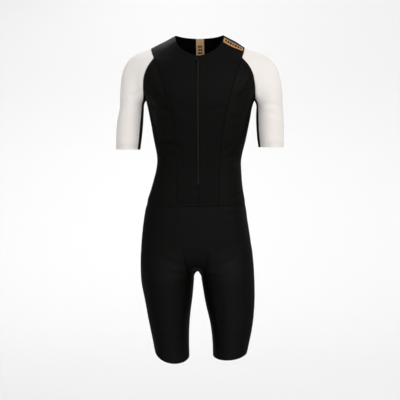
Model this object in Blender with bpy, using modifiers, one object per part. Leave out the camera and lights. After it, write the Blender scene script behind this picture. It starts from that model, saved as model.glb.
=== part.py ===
"""Short-sleeved triathlon suit with a front zip, filled out as if worn, with no wearer.

Metres, +Z up.  The front faces -Y and the wearer's left is towards +X.  The origin lies midway
between the two shoulder seams, level with the outer ends of those seams.

The cloth is cut as on a real suit.  Heights, widths and depths stand in the tables below; each
panel is a grid of points on the form that the tables give, and becomes a wall of cloth with a
small gap at every seam.
"""

from collections import namedtuple

import bmesh
import bpy
import numpy as np
from mathutils import Matrix

# ---------------------------------------------------------------------------------------------
# Driving sizes
# ---------------------------------------------------------------------------------------------
CLOTH = 0.0015  # wall of cloth
TAPE = 0.0010  # wall of the tapes
SEAM_GAP = 0.0003  # between two pieces sewn together
LAYER_GAP = 0.0003  # between a piece and what lies on it
MITRE_LIMIT = 1.5  # the most that a wall is lengthened at a sharp seam

NECK_FRONT_Z = -0.031
NECK_SIDE_Z = 0.037
NECK_BACK_Z = 0.0345
SHOULDER_END_Z = 0.0
WAIST_SEAM_Z = -0.456
SIDE_SEAM_ANGLE = 97.0  # degrees round from the centre front
ZIP_BOTTOM_Z = -0.396
ZIP_TAIL = 0.006  # the slit narrows over this height below the zip
ZIP_SLIT = 0.0028  # half the width left between the fronts for the zip's chain
ZIP_TAIL_SLIT = 0.0010

# The torso and seat, level by level: half width, sideways shift of the level, middle of the
# depth, depth in front of and behind that middle, and how square the section is (2 is an ellipse).
Level = namedtuple("Level", "z wide shift mid front back square")
TORSO = [
    Level(-0.650, 0.1700, -0.0070, 0.010, 0.083, 0.102, 2.50),
    Level(-0.600, 0.1660, -0.0085, 0.010, 0.088, 0.112, 2.40),
    Level(-0.550, 0.1605, -0.0105, 0.009, 0.092, 0.116, 2.35),
    Level(-0.500, 0.1535, -0.0115, 0.008, 0.094, 0.112, 2.30),
    Level(-0.456, 0.1465, -0.0105, 0.006, 0.094, 0.101, 2.30),
    Level(-0.400, 0.1335, -0.0060, 0.003, 0.091, 0.085, 2.30),
    Level(-0.360, 0.1260, -0.0020, 0.001, 0.089, 0.078, 2.30),
    Level(-0.325, 0.1235, 0.0000, 0.000, 0.090, 0.077, 2.30),
    Level(-0.270, 0.1345, 0.0015, 0.000, 0.098, 0.085, 2.30),
    Level(-0.200, 0.1480, 0.0020, 0.000, 0.108, 0.095, 2.30),
    Level(-0.158, 0.1560, 0.0015, 0.000, 0.112, 0.099, 2.30),
    Level(-0.128, 0.1740, 0.0010, 0.002, 0.111, 0.100, 2.30),
    Level(-0.100, 0.1880, 0.0000, 0.004, 0.107, 0.099, 2.25),
    Level(-0.072, 0.1915, 0.0000, 0.006, 0.100, 0.097, 2.10),
    Level(-0.050, 0.1840, -0.0010, 0.007, 0.091, 0.093, 2.00),
    Level(-0.030, 0.1685, -0.0030, 0.008, 0.080, 0.088, 1.80),
    Level(-0.015, 0.1535, -0.0040, 0.008, 0.072, 0.082, 1.65),
    Level(0.000, 0.1370, -0.0040, 0.008, 0.064, 0.073, 1.50),
    Level(0.015, 0.1090, -0.0025, 0.008, 0.058, 0.062, 1.50),
    Level(0.037, 0.0690, 0.0000, 0.008, 0.050, 0.048, 1.60),
]

# A limb, level by level: the middle of the section, its half width and its half depth.
Ring = namedtuple("Ring", "z x y wide deep")
RIGHT_LEG = [
    Ring(-0.940, -0.0790, 0.014, 0.0480, 0.060),
    Ring(-0.892, -0.0830, 0.014, 0.0520, 0.065),
    Ring(-0.819, -0.0900, 0.012, 0.0590, 0.074),
    Ring(-0.747, -0.0925, 0.011, 0.0705, 0.084),
    Ring(-0.675, -0.0955, 0.010, 0.0795, 0.093),
    Ring(-0.600, -0.0930, 0.010, 0.0820, 0.098),
    Ring(-0.456, -0.0860, 0.010, 0.0820, 0.098),
]
LEFT_LEG = [
    Ring(-0.940, 0.0860, -0.008, 0.0455, 0.060),
    Ring(-0.892, 0.0920, -0.006, 0.0510, 0.065),
    Ring(-0.819, 0.0965, -0.001, 0.0615, 0.074),
    Ring(-0.747, 0.0915, 0.005, 0.0735, 0.084),
    Ring(-0.675, 0.0850, 0.009, 0.0790, 0.093),
    Ring(-0.600, 0.0780, 0.010, 0.0820, 0.098),
    Ring(-0.456, 0.0680, 0.010, 0.0820, 0.098),
]
RIGHT_SLEEVE = [
    Ring(-0.295, -0.2095, 0.002, 0.0355, 0.046),
    Ring(-0.265, -0.2070, 0.003, 0.0378, 0.048),
    Ring(-0.235, -0.2050, 0.004, 0.0388, 0.049),
    Ring(-0.205, -0.2030, 0.005, 0.0380, 0.050),
    Ring(-0.175, -0.1980, 0.006, 0.0355, 0.050),
]
LEFT_SLEEVE = [
    Ring(-0.288, 0.2095, 0.002, 0.0373, 0.046),
    Ring(-0.265, 0.2080, 0.003, 0.0388, 0.048),
    Ring(-0.235, 0.2070, 0.004, 0.0408, 0.049),
    Ring(-0.205, 0.2060, 0.005, 0.0408, 0.050),
    Ring(-0.175, 0.2045, 0.006, 0.0392, 0.050),
]
ARM_RING_Z = -0.175  # where the shoulder cap has become a plain tube
LEG_TOP_Z, LEG_RING_Z = -0.578, -0.685  # the seat turns into two legs between these heights
SEAT_SHIFT = -0.005  # the body stands slightly to its right

# Hems: height on the outside, at the front, on the inside and at the back of the leg.
Hem = namedtuple("Hem", "outer front inner back")
RIGHT_HEM = Hem(-0.898, -0.921, -0.915, -0.906)
LEFT_HEM = Hem(-0.893, -0.903, -0.904, -0.899)

# Seams on the front: distance from the centre at each height.
Mark = namedtuple("Mark", "x z")
NECKLINE = [
    Mark(0.003, NECK_FRONT_Z),
    Mark(0.022, -0.026),
    Mark(0.040, -0.016),
    Mark(0.056, -0.003),
    Mark(0.0645, 0.012),
    Mark(0.068, 0.024),
    Mark(0.0688, 0.031),
]
PRINCESS_SEAM = [
    Mark(0.059, WAIST_SEAM_Z),
    Mark(0.060, -0.355),
    Mark(0.064, -0.300),
    Mark(0.069, -0.245),
    Mark(0.077, -0.194),
    Mark(0.091, -0.139),
    Mark(0.102, -0.098),
    Mark(0.113, -0.064),
]
# The armhole's front, measured from the middle of each level instead.
NOTCH = Mark(0.126, -0.033)  # where the princess seam meets the armhole
ARMHOLE_TIP = Mark(0.1345, -0.012)  # between the notch and the shoulder seam
ARMHOLE_FRONT = [
    Mark(0.1475, -0.054),
    Mark(0.1567, -0.072),
    Mark(0.1610, -0.093),
    Mark(0.1612, -0.112),
    Mark(0.1595, -0.129),
]

# Seams given by the angle round from the centre front, in degrees, and the height.
Turn = namedtuple("Turn", "angle z")
SHOULDER_END = Turn(90.0, SHOULDER_END_Z)
ARMHOLE_UNDER = [
    Turn(77.0, -0.141),
    Turn(84.5, -0.151),
    Turn(SIDE_SEAM_ANGLE, -0.156),
]
ARMHOLE_BACK = [
    Turn(SIDE_SEAM_ANGLE, -0.156),
    Turn(101.0, -0.146),
    Turn(106.5, -0.130),
    Turn(110.4, -0.110),
    Turn(112.7, -0.085),
    Turn(111.5, -0.055),
    Turn(106.5, -0.030),
    Turn(99.0, -0.012),
    SHOULDER_END,
]
# The gusset's edge on the thigh: angle about the leg, 0 at the front and -90 on the inside.
GUSSET_EDGE = [
    Turn(-29.0, -0.578),
    Turn(-31.0, -0.610),
    Turn(-40.0, -0.640),
    Turn(-62.0, -0.664),
    Turn(-90.0, -0.672),
    Turn(-118.0, -0.664),
    Turn(-140.0, -0.643),
    Turn(-151.0, -0.610),
    Turn(-153.0, -0.572),
]
GUSSET_ARCH = 0.043  # how much the gusset arches up between the legs

# The largest folds: a line on the front (face -1) or the back (face 1), how far it stands out,
# or in when negative, and how wide it is.
Fold = namedtuple("Fold", "x0 z0 x1 z1 face rise width")
FOLDS = [
    Fold(0.152, -0.108, 0.118, -0.168, -1, -0.0040, 0.011),
    Fold(-0.150, -0.115, -0.118, -0.160, -1, -0.0030, 0.011),
    Fold(-0.130, -0.176, -0.082, -0.194, -1, -0.0030, 0.010),
    Fold(-0.108, -0.288, -0.056, -0.300, -1, -0.0030, 0.010),
    Fold(0.118, -0.330, 0.082, -0.305, -1, -0.0025, 0.010),
    Fold(-0.100, -0.330, 0.100, -0.322, 1, -0.0035, 0.012),
    Fold(-0.105, -0.372, 0.095, -0.365, 1, 0.0030, 0.013),
    Fold(0.150, -0.120, 0.105, -0.185, 1, -0.0040, 0.012),
    Fold(-0.150, -0.118, -0.108, -0.180, 1, -0.0035, 0.012),
    Fold(-0.236, -0.168, -0.186, -0.140, -1, -0.0025, 0.010),
    Fold(0.240, -0.182, 0.196, -0.172, -1, -0.0025, 0.010),
]

# The zip's slider and pull.
SLIDER_Z = -0.0365
SLIDER_WIDTH, SLIDER_DEPTH, SLIDER_HEIGHT = 0.0072, 0.0026, 0.0095
SLIDER_OFFSET = 0.0005  # its middle above the pull's axis
SLIDER_ROUND = 0.0007
SLIDER_GAP = 0.0005  # between the slider and the zip
SLIDER_SLOPE = 0.006  # height over which the zip's slope is taken at the slider
BRIDGE_REACH = 0.0019  # from the pull's axis back to the slider's face
BRIDGE_RADIUS, BRIDGE_WIDTH, EYE_RADIUS = 0.0027, 0.0012, 0.0015
PULL_WIDTH, PULL_THICKNESS, PULL_LENGTH = 0.0070, 0.0010, 0.0155
PULL_BAR = 0.0010  # of the pull above its eye
PULL_SLANT = 30.0  # degrees that the pull hangs aside, towards the right of the suit
PULL_EYE_WIDTH, PULL_EYE_END = 0.0044, 0.0037
PULL_ROUND, PULL_EYE_ROUND = 0.0014, 0.0004

TORSO_INSIDE = (0, 0.008, -0.2)

# How finely the panels are divided.
FRONT_COLUMNS, SIDE_COLUMNS = 5, 8
NECK_TAPE_ROWS = 6
LOW_ROWS, HIGH_ROWS = 3, 16  # below the zip and beside it
TORSO_ROWS = LOW_ROWS + 1 + HIGH_ROWS
CAP_EDGE_ROWS, SHOULDER_ROWS, ARMHOLE_ROWS = 3, 4, 9  # notch to shoulder, shoulder, back armhole
CENTRE_NOTCH_Z = -0.066  # where the notch's row meets the zip
SHOULDER_SPAN = 0.095  # from the middle of the front's neckline to the shoulder seam
TAPE_NEAR, TAPE_FAR = 0.005, 0.027  # from the shoulder seam to the tape's two edges
BACK_NECK_COLUMNS = (0.0125, 0.029, 0.046, 0.063)  # along the back neckline from its middle
CAP_ROWS, SLEEVE_ROWS = 9, 5
CAP_LIFT = 0.33  # how much the sleeve rises as it leaves the shoulder
CAP_BLEND = (0.45, 0.10)  # where, from the top down, it starts to leave straight for the arm
CAP_SMOOTHING = 0.5  # each neighbour's share in the way that it leaves the armhole
HANDLE, CAP_HANDLES = 0.30, (0.13, 0.33)  # of the curve from armhole to tube, and more on top
CENTRE_ROWS, GUSSET_COLUMNS, GUSSET_ROWS, LEG_ROWS = 6, 3, 6, 11
SIDE_SPLIT_Z = -0.560  # where the row from the gusset's corner meets the side seam
UNDER_COLUMNS = 2  # of the sleeve's columns, each side of its underarm line
UNDER_ANGLE = 36.0  # half the width of the underarm panel at the cuff, in degrees


# ---------------------------------------------------------------------------------------------
# Curves and sections
# ---------------------------------------------------------------------------------------------
def smooth(xs, ys, x):
    """The height at x of a smooth curve through the points xs, ys, with xs rising."""
    xs, ys = np.asarray(xs, float), np.asarray(ys, float)
    slopes = np.gradient(ys, xs) if len(xs) > 2 else np.full(len(xs), np.ptp(ys) / np.ptp(xs))
    x = np.clip(x, xs[0], xs[-1])
    i = np.clip(np.searchsorted(xs, x, side="right") - 1, 0, len(xs) - 2)
    step = xs[i + 1] - xs[i]
    t = (x - xs[i]) / step
    return (
        ys[i] * (1 + 2 * t) * (1 - t) ** 2
        + ys[i + 1] * t * t * (3 - 2 * t)
        + step * (slopes[i] * t * (1 - t) ** 2 - slopes[i + 1] * t * t * (1 - t))
    )


def column(table, name, z):
    """A named column of a table, read at height z."""
    rows = sorted(table, key=lambda row: row.z)
    return smooth([row.z for row in rows], [getattr(row, name) for row in rows], z)


def ease(low, high, x):
    t = np.clip((x - low) / (high - low), 0, 1)
    return t * t * (3 - 2 * t)


def torso_section(z):
    return [column(TORSO, name, z) for name in Level._fields[1:]]


def torso_point(angle, z, side):
    """The point of the torso at an angle, in radians, round from the centre front."""
    wide, shift, mid, front, back, square = torso_section(z)
    across, along = np.sin(angle), np.cos(angle)
    deep = np.where(along > 0, front, back)
    reach = (np.abs(across / wide) ** square + np.abs(along / deep) ** square) ** (-1 / square)
    return np.stack([shift + side * reach * across, mid - reach * along, z + 0 * reach], axis=-1)


def torso_normal(points, side, step=0.001):
    """The way out of the torso's surface at points on it."""
    z = points[:, 2]
    _, shift, mid, _, _, _ = torso_section(z)
    angle = np.arctan2(side * (points[:, 0] - shift), mid - points[:, 1])
    around = torso_point(angle + step, z, side) - torso_point(angle - step, z, side)
    upward = torso_point(angle, z + step, side) - torso_point(angle, z - step, side)
    return unit(np.cross(around, upward)) * side


def torso_angle(x, z, side, behind=False):
    """The angle at which the torso's section at height z is x away from the centre line."""
    wide, shift, _, front, back, square = torso_section(z)
    out = np.clip((x - side * shift) / wide, -1, 1)
    deep = (back if behind else front) * (1 - np.abs(out) ** square) ** (1 / square)
    angle = np.arctan2(out * wide, deep)
    return np.pi - angle if behind else angle


def centre_x(z):
    """The middle of the front and back: straight under the zip, then slightly aside at the seat."""
    return SEAT_SHIFT * ease(-WAIST_SEAM_Z, -LEG_TOP_Z, -z)


def leg_point(angle, z, side):
    """The point of the seat and leg at an angle about the leg: 0 in front, positive outwards."""
    table = LEFT_LEG if side > 0 else RIGHT_LEG
    x, y, wide, deep = [column(table, name, z) for name in Ring._fields[1:]]
    across, along = np.sin(angle), np.cos(angle)
    leg_reach = ((across / wide) ** 2 + (along / deep) ** 2) ** -0.5
    t_wide, shift, mid, front, back, square = torso_section(z)
    low, high = np.zeros_like(leg_reach), np.full_like(leg_reach, 0.4)
    for _ in range(34):
        reach = (low + high) / 2
        px = (x + side * reach * across - shift) / t_wide
        py = y - reach * along - mid
        py = py / np.where(py > 0, back, front)
        inside = np.abs(px) ** square + np.abs(py) ** square < 1
        low, high = np.where(inside, reach, low), np.where(inside, high, reach)
    to_middle = np.abs(x - centre_x(z)) / np.maximum(-across, 1e-6)
    seat_reach = np.where(across < 0, np.minimum(low, to_middle), low)
    part = ease(-LEG_TOP_Z, -LEG_RING_Z, -z)
    reach = seat_reach * (1 - part) + leg_reach * part
    return np.stack([x + side * reach * across, y - reach * along, z + 0 * reach], axis=-1)


def leg_angle(points, side):
    """The angle about the leg of points on the seat or the leg."""
    table = LEFT_LEG if side > 0 else RIGHT_LEG
    x, y = column(table, "x", points[:, 2]), column(table, "y", points[:, 2])
    return np.arctan2(side * (points[:, 0] - x), y - points[:, 1])


def sleeve_ring(angle, z, side):
    """The point of the arm's tube at an angle: 0 towards the body, 90 degrees in front."""
    table = LEFT_SLEEVE if side > 0 else RIGHT_SLEEVE
    x, y, wide, deep = [column(table, name, z) for name in Ring._fields[1:]]
    reach = ((np.cos(angle) / wide) ** 2 + (np.sin(angle) / deep) ** 2) ** -0.5
    return np.stack(
        [x - side * reach * np.cos(angle), y - reach * np.sin(angle), z + 0 * reach], axis=-1
    )


# ---------------------------------------------------------------------------------------------
# Edges and patches, as (angle, height) pairs on a surface
# ---------------------------------------------------------------------------------------------
def dense(turns, count=160):
    """Many points along a smooth line through a list of Turn."""
    knots = np.arange(len(turns))
    at = np.linspace(0, len(turns) - 1, count)
    angles = np.radians([turn.angle for turn in turns])
    return np.stack([smooth(knots, angles, at), smooth(knots, [turn.z for turn in turns], at)], 1)


def spaced(line, surface, fractions):
    """Points of a dense line at these fractions of its true length on the surface."""
    points = surface(line[:, 0], line[:, 1])
    run = np.concatenate([[0], np.cumsum(np.linalg.norm(np.diff(points, axis=0), axis=1))])
    at = np.asarray(fractions) * run[-1]
    return np.stack([np.interp(at, run, line[:, k]) for k in (0, 1)], axis=1)


def fractions_of(points):
    """How far along its own length each point of a line lies, from 0 to 1."""
    run = np.concatenate([[0], np.cumsum(np.linalg.norm(np.diff(points, axis=0), axis=1))])
    return run / run[-1]


def patch(left, right, first, last, rows, columns):
    """A Coons patch between four lines of points, from its first row to its last."""
    v, u = np.asarray(rows)[:, None, None], np.asarray(columns)[None, :, None]
    along = (1 - u) * left[:, None] + u * right[:, None]
    corners = (1 - u) * left[[0, -1], None] + u * right[[0, -1], None]
    return along + (1 - v) * (first - corners[0]) + v * (last - corners[1])


def even(count):
    return np.linspace(0, 1, count + 1)


def torso_rows():
    """Rows from the waist seam to the notch, with one pair of rows around the zip's lower end."""
    height = CENTRE_NOTCH_Z - WAIST_SEAM_Z
    closed = (ZIP_BOTTOM_Z - ZIP_TAIL - WAIST_SEAM_Z) / height
    open_ = (ZIP_BOTTOM_Z - WAIST_SEAM_Z) / height
    return np.concatenate([np.linspace(0, closed, LOW_ROWS + 1), np.linspace(open_, 1, HIGH_ROWS + 1)])


def front_columns():
    """Columns of the front panel, the last of them along the shoulder tape's edges."""
    near, far = 1 - TAPE_NEAR / SHOULDER_SPAN, 1 - TAPE_FAR / SHOULDER_SPAN
    return np.concatenate([np.linspace(0, far, FRONT_COLUMNS + 1), [near, 1]])


def seam_of(marks, side, count=160):
    """A dense (angle, height) line through marks on the front."""
    knots = np.arange(len(marks))
    at = np.linspace(0, len(marks) - 1, count)
    x = smooth(knots, [mark.x for mark in marks], at)
    z = smooth(knots, [mark.z for mark in marks], at)
    return np.stack([torso_angle(x, z, side), z], axis=1)


def level_turns(marks, side):
    """Turns for marks that are measured from the middle of their own level."""
    return [
        Turn(np.degrees(torso_angle(x + side * column(TORSO, "shift", z), z, side)), z)
        for x, z in marks
    ]


def side_seam_line(z_low, z_high, count=160):
    return np.stack(
        [np.full(count, np.radians(SIDE_SEAM_ANGLE)), np.linspace(z_low, z_high, count)], axis=1
    )


def waist_line(start, end, count=100):
    return np.stack([np.linspace(start, end, count), np.full(count, WAIST_SEAM_Z)], axis=1)


def shoulder_line(count=60):
    z = np.linspace(NECK_SIDE_Z, SHOULDER_END_Z, count)
    return np.stack([np.full(count, np.pi / 2), z], axis=1)


# ---------------------------------------------------------------------------------------------
# Panels: arrays of points, row by row
# ---------------------------------------------------------------------------------------------
def laid_on_torso(points, side, rounds=8, step=0.0005):
    """The points of the torso's surface nearest to these points."""
    z = points[..., 2]
    _, shift, mid, _, _, _ = torso_section(z)
    angle = np.arctan2(side * (points[..., 0] - shift), mid - points[..., 1])
    for _ in range(rounds):
        here = torso_point(angle, z, side)
        by_angle = (torso_point(angle + step, z, side) - torso_point(angle - step, z, side)) / step / 2
        by_height = (torso_point(angle, z + step, side) - torso_point(angle, z - step, side)) / step / 2
        miss = points - here
        aa, az = (by_angle**2).sum(-1), (by_angle * by_height).sum(-1)
        zz = (by_height**2).sum(-1)
        ra, rz = (by_angle * miss).sum(-1), (by_height * miss).sum(-1)
        whole = aa * zz - az * az
        angle = angle + np.clip((zz * ra - az * rz) / whole, -0.3, 0.3)
        z = z + np.clip((aa * rz - az * ra) / whole, -0.01, 0.01)
    return torso_point(angle, z, side)


def torso_patch(left, right, first, last, rows, columns, side):
    """A patch between four lines of 3-D points, laid back onto the torso."""
    laid = laid_on_torso(patch(left, right, first, last, rows, columns), side)
    laid[0], laid[-1], laid[:, 0], laid[:, -1] = first, last, left, right
    return laid


def upper_panels(side):
    """Front, side and back panels of one half of the upper body."""

    def on_torso(line, fractions):
        """Points of a dense (angle, height) line at these fractions of its length."""
        points = torso_point(line[:, 0], line[:, 1], side)
        run = fractions_of(points)
        at = np.stack([np.interp(fractions, run, line[:, k]) for k in (0, 1)], axis=1)
        return torso_point(at[:, 0], at[:, 1], side)

    def length(line):
        steps = np.diff(torso_point(line[:, 0], line[:, 1], side), axis=0)
        return np.linalg.norm(steps, axis=1).sum()

    notch_x = NOTCH.x + side * column(TORSO, "shift", NOTCH.z)
    princess = seam_of(PRINCESS_SEAM + [Mark(notch_x, NOTCH.z)], side)
    cap = dense(level_turns([NOTCH, ARMHOLE_TIP], side) + [SHOULDER_END])
    side_seam = side_seam_line(WAIST_SEAM_Z, ARMHOLE_BACK[0].z)
    back_armhole = dense(ARMHOLE_BACK)
    neck = np.concatenate([seam_of(NECKLINE, side), [[np.pi / 2, NECK_SIDE_Z]]])
    shoulder = on_torso(shoulder_line(), even(SHOULDER_ROWS))

    # Front: from the zip to the princess seam and, above it, the armhole and the shoulder.
    seam_rows = torso_rows()
    cap_edge = on_torso(cap, even(CAP_EDGE_ROWS))
    outer = np.concatenate([on_torso(princess, seam_rows), cap_edge[1:], shoulder[::-1][1:]])
    rows = fractions_of(outer)
    above = np.linspace(CENTRE_NOTCH_Z, NECK_FRONT_Z, CAP_EDGE_ROWS + SHOULDER_ROWS + 1)[1:]
    z = np.concatenate([WAIST_SEAM_Z + (CENTRE_NOTCH_Z - WAIST_SEAM_Z) * seam_rows, above])
    slit = np.full(len(rows), ZIP_SLIT)
    slit[: LOW_ROWS + 1] = 0
    slit[LOW_ROWS] = ZIP_TAIL_SLIT
    inner = torso_point(torso_angle(slit, z, side), z, side)
    columns = front_columns()
    neckline = on_torso(neck, columns)
    neckline[0] = inner[-1]
    waist = on_torso(waist_line(torso_angle(0, WAIST_SEAM_Z, side), princess[0, 0]), columns)
    inner[0] = waist[0]
    front = torso_patch(inner, outer, waist, neckline, rows, columns, side)

    # Side: from the princess seam to the side seam, up to the armhole.
    side_columns = even(SIDE_COLUMNS)
    hole = dense(level_turns([NOTCH] + ARMHOLE_FRONT, side) + ARMHOLE_UNDER)
    armhole = on_torso(hole, side_columns)
    side_edge = on_torso(side_seam, seam_rows)
    side_waist = on_torso(waist_line(princess[0, 0], side_seam[0, 0]), side_columns)
    seam_edge = outer[: TORSO_ROWS + 1]
    flank = torso_patch(seam_edge, side_edge, side_waist, armhole, seam_rows, side_columns, side)

    # Back: from the centre back to the side seam and, above it, to the armhole.
    side_run, hole_run = length(side_seam), length(back_armhole)
    hole_rows = even(ARMHOLE_ROWS)
    back_outer = np.concatenate([side_edge, on_torso(back_armhole, hole_rows)[1:]])
    back_rows = np.concatenate([seam_rows * side_run, side_run + hole_rows[1:] * hole_run])
    back_rows /= side_run + hole_run
    z = WAIST_SEAM_Z + (NECK_BACK_Z - WAIST_SEAM_Z) * back_rows
    centre = torso_point(torso_angle(0 * z, z, side, behind=True), z, side)
    t = np.linspace(0, 1, 60)
    nape_start = torso_angle(0, NECK_BACK_Z, side, behind=True)
    nape_z = NECK_BACK_Z + (NECK_SIDE_Z - NECK_BACK_Z) * t * t
    nape = np.stack([nape_start + (np.pi / 2 - nape_start) * t, nape_z], axis=1)
    nape_at = np.concatenate([[0], np.array(BACK_NECK_COLUMNS) / length(nape), [1]])
    back_top = np.concatenate([on_torso(nape, nape_at), shoulder[1:]])
    back_columns = fractions_of(back_top)
    middle_angle = torso_angle(0, WAIST_SEAM_Z, side, behind=True)
    back_waist = on_torso(waist_line(middle_angle, side_seam[0, 0]), back_columns)
    back_waist[0] = centre[0]
    back = torso_patch(centre, back_outer, back_waist, back_top, back_rows, back_columns, side)

    return {"front": front, "flank": flank, "back": back}


def sleeve_panels(side, upper):
    """The sleeve, from the armhole's own points down to the cuff."""
    front, flank, back = upper["front"], upper["flank"], upper["back"]
    tip = TORSO_ROWS + CAP_EDGE_ROWS
    loop = np.concatenate(
        [front[TORSO_ROWS : tip + 1, -1][::-1], flank[-1, 1:], back[TORSO_ROWS + 1 :, -1]]
    )
    front_count = len(loop) - 1 - (len(back) - 1 - TORSO_ROWS)
    back_count = len(loop) - 1 - front_count
    under = UNDER_ANGLE
    angles = np.radians(
        np.concatenate(
            [
                np.linspace(180, under, front_count - UNDER_COLUMNS + 1)[:-1],
                np.linspace(under, -under, 2 * UNDER_COLUMNS + 1)[:-1],
                np.linspace(-under, -180, back_count - UNDER_COLUMNS + 1),
            ]
        )
    )
    table = LEFT_SLEEVE if side > 0 else RIGHT_SLEEVE
    cuff_z = min(ring.z for ring in table)
    ring = sleeve_ring(angles, np.full(len(angles), ARM_RING_Z), side)

    around = unit(np.roll(loop[:-1], -1, axis=0) - np.roll(loop[:-1], 1, axis=0))
    away = unit(np.cross(torso_normal(loop[:-1], side), around)) * side
    away = unit(away + CAP_SMOOTHING * (np.roll(away, 1, axis=0) + np.roll(away, -1, axis=0)))
    away = np.concatenate([away, away[:1]])
    straight = ring - loop
    span = np.linalg.norm(straight, axis=1, keepdims=True)
    over = ((1 - np.cos(angles)) / 2)[:, None]  # 1 on top of the shoulder, 0 under the arm
    near_under = ease(*CAP_BLEND, over)
    upward = np.array([0, 0, 1.0])
    away = unit(away + CAP_LIFT * over**2 * upward)
    start = unit(away * (1 - near_under) + straight / span * near_under)
    handle_1 = loop + start * span * (HANDLE + CAP_HANDLES[0] * over)
    handle_2 = ring + upward * span * (HANDLE + CAP_HANDLES[1] * over)
    t = even(CAP_ROWS)[:, None, None]
    cap = (
        loop * (1 - t) ** 3
        + 3 * handle_1 * t * (1 - t) ** 2
        + 3 * handle_2 * t * t * (1 - t)
        + ring * t**3
    )
    tube = [
        sleeve_ring(angles, np.full(len(angles), z), side)
        for z in np.linspace(ARM_RING_Z, cuff_z, SLEEVE_ROWS + 1)[1:]
    ]
    whole = np.concatenate([cap, tube])
    first, last = front_count - UNDER_COLUMNS, front_count + UNDER_COLUMNS
    return {
        "sleeve": np.concatenate([whole[:, last:-1], whole[:, : first + 1]], axis=1),
        "under": whole[:, first : last + 1],
    }


def lower_panels(side, upper):
    """Front and back of one half of the shorts, and the gusset's edge on that side."""

    def surface(angle, z):
        return leg_point(angle, z, side)

    waist_front = np.concatenate([upper["front"][0], upper["flank"][0, 1:]])
    waist_back = upper["back"][0]
    hem = LEFT_HEM if side > 0 else RIGHT_HEM
    edge = dense(GUSSET_EDGE)
    split = int(np.argmin(np.abs(edge[:, 0] + np.pi / 2)))
    inseam_top = edge[split]
    inseam = np.linspace(inseam_top, [-np.pi / 2, hem.inner], LEG_ROWS + 1)
    side_angle = np.radians(SIDE_SEAM_ANGLE)

    def centre_line(z_low, behind):
        z = np.linspace(WAIST_SEAM_Z, z_low, CENTRE_ROWS + 1)
        angle = torso_angle(side * centre_x(z), z, side, behind)
        return np.stack([leg_angle(torso_point(angle, z, side), side), z], axis=1)

    def half(corner, down, waist, behind):
        centre = centre_line(corner[1], behind)
        across = np.linspace(centre[-1], corner, GUSSET_COLUMNS + 1)
        inner = np.concatenate([centre, across[1:], spaced(down, surface, even(GUSSET_ROWS))[1:]])
        inner = np.concatenate([inner, inseam[1:]])
        top_angles = leg_angle(waist, side)
        if behind:
            inner[:, 0] %= 2 * np.pi
            top_angles %= 2 * np.pi
        top = np.stack([top_angles, np.full(len(waist), WAIST_SEAM_Z)], axis=1)
        rows = even(len(inner) - 1)
        corner_row = CENTRE_ROWS + GUSSET_COLUMNS
        outer_z = np.interp(
            np.arange(len(inner)),
            [0, corner_row, len(inner) - 1],
            [WAIST_SEAM_Z, SIDE_SPLIT_Z, hem_height(hem, side_angle)],
        )
        outer = np.stack([top_angles[-1] + (side_angle - top_angles[-1]) * rows, outer_z], axis=1)
        columns = fractions_of(waist)
        angles = inner[-1, 0] + (side_angle - inner[-1, 0]) * columns
        bottom = np.stack([angles, hem_height(hem, angles)], axis=1)
        grid = patch(inner, outer, top, bottom, rows, columns)
        points = surface(grid[..., 0], grid[..., 1])
        points[0] = waist
        return points

    return {
        "front": half(edge[0], edge[: split + 1], waist_front, False),
        "back": half(edge[-1], edge[split:][::-1], waist_back, True),
    }


def hem_height(hem, angle):
    """Height of a leg's hem at an angle about the leg."""
    middle = (hem.outer + hem.inner) / 2
    towards = np.where(np.cos(angle) > 0, hem.front, hem.back) - middle
    return middle + (hem.outer - middle) * np.sin(angle) + towards * np.cos(angle) ** 2


def gusset_panel(left, right):
    """The gusset, lofted from its edge on one thigh to its edge on the other."""
    corner = CENTRE_ROWS + GUSSET_COLUMNS
    bottom = corner + GUSSET_ROWS

    def edge(half):
        front = half["front"][corner : bottom + 1, :2]
        back = half["back"][corner : bottom + 1, :2][::-1]
        return np.concatenate([front[:, 0], back[1:, 0]]), np.concatenate([front[:, 1], back[1:, 1]])

    (a, a_beside), (b, b_beside) = edge(right), edge(left)
    chord = b - a
    gap = np.linalg.norm(chord, axis=1, keepdims=True)

    def inward(points, beside, sign):
        along = unit(np.gradient(points, axis=0))
        out = points - beside
        out = unit(out - (out * along).sum(1, keepdims=True) * along)
        facing = (out * chord / gap * sign).sum(1, keepdims=True)
        return out * (gap / 3 + GUSSET_ARCH * (1 - facing))

    p1, p2 = a + inward(a, a_beside, 1), b + inward(b, b_beside, -1)
    t = even(2 * GUSSET_COLUMNS)[None, :, None]
    grid = (
        a[:, None] * (1 - t) ** 3
        + 3 * p1[:, None] * t * (1 - t) ** 2
        + 3 * p2[:, None] * t * t * (1 - t)
        + b[:, None] * t**3
    )
    for row, name in ((0, "front"), (-1, "back")):
        ends = [half[name][CENTRE_ROWS : corner + 1, 0] for half in (right, left)]
        grid[row] = np.concatenate([ends[0][::-1], ends[1][1:]])
    return grid


def unit(vectors):
    return vectors / np.maximum(np.linalg.norm(vectors, axis=-1, keepdims=True), 1e-12)


# ---------------------------------------------------------------------------------------------
# Folds, and walls of cloth
# ---------------------------------------------------------------------------------------------
def fold_height(points):
    """How far the largest folds push the cloth out at these points; troughs are negative."""
    height = np.zeros(points.shape[:-1])
    for fold in FOLDS:
        start, end = np.array([fold.x0, fold.z0]), np.array([fold.x1, fold.z1])
        run = end - start
        offset = points[..., [0, 2]] - start
        at = np.clip((offset @ run) / (run @ run), 0, 1)
        away = np.linalg.norm(offset - at[..., None] * run, axis=-1)
        facing = points[..., 1] * fold.face > 0
        height += facing * fold.rise * np.exp(-((away / fold.width) ** 2))
    return height


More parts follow.
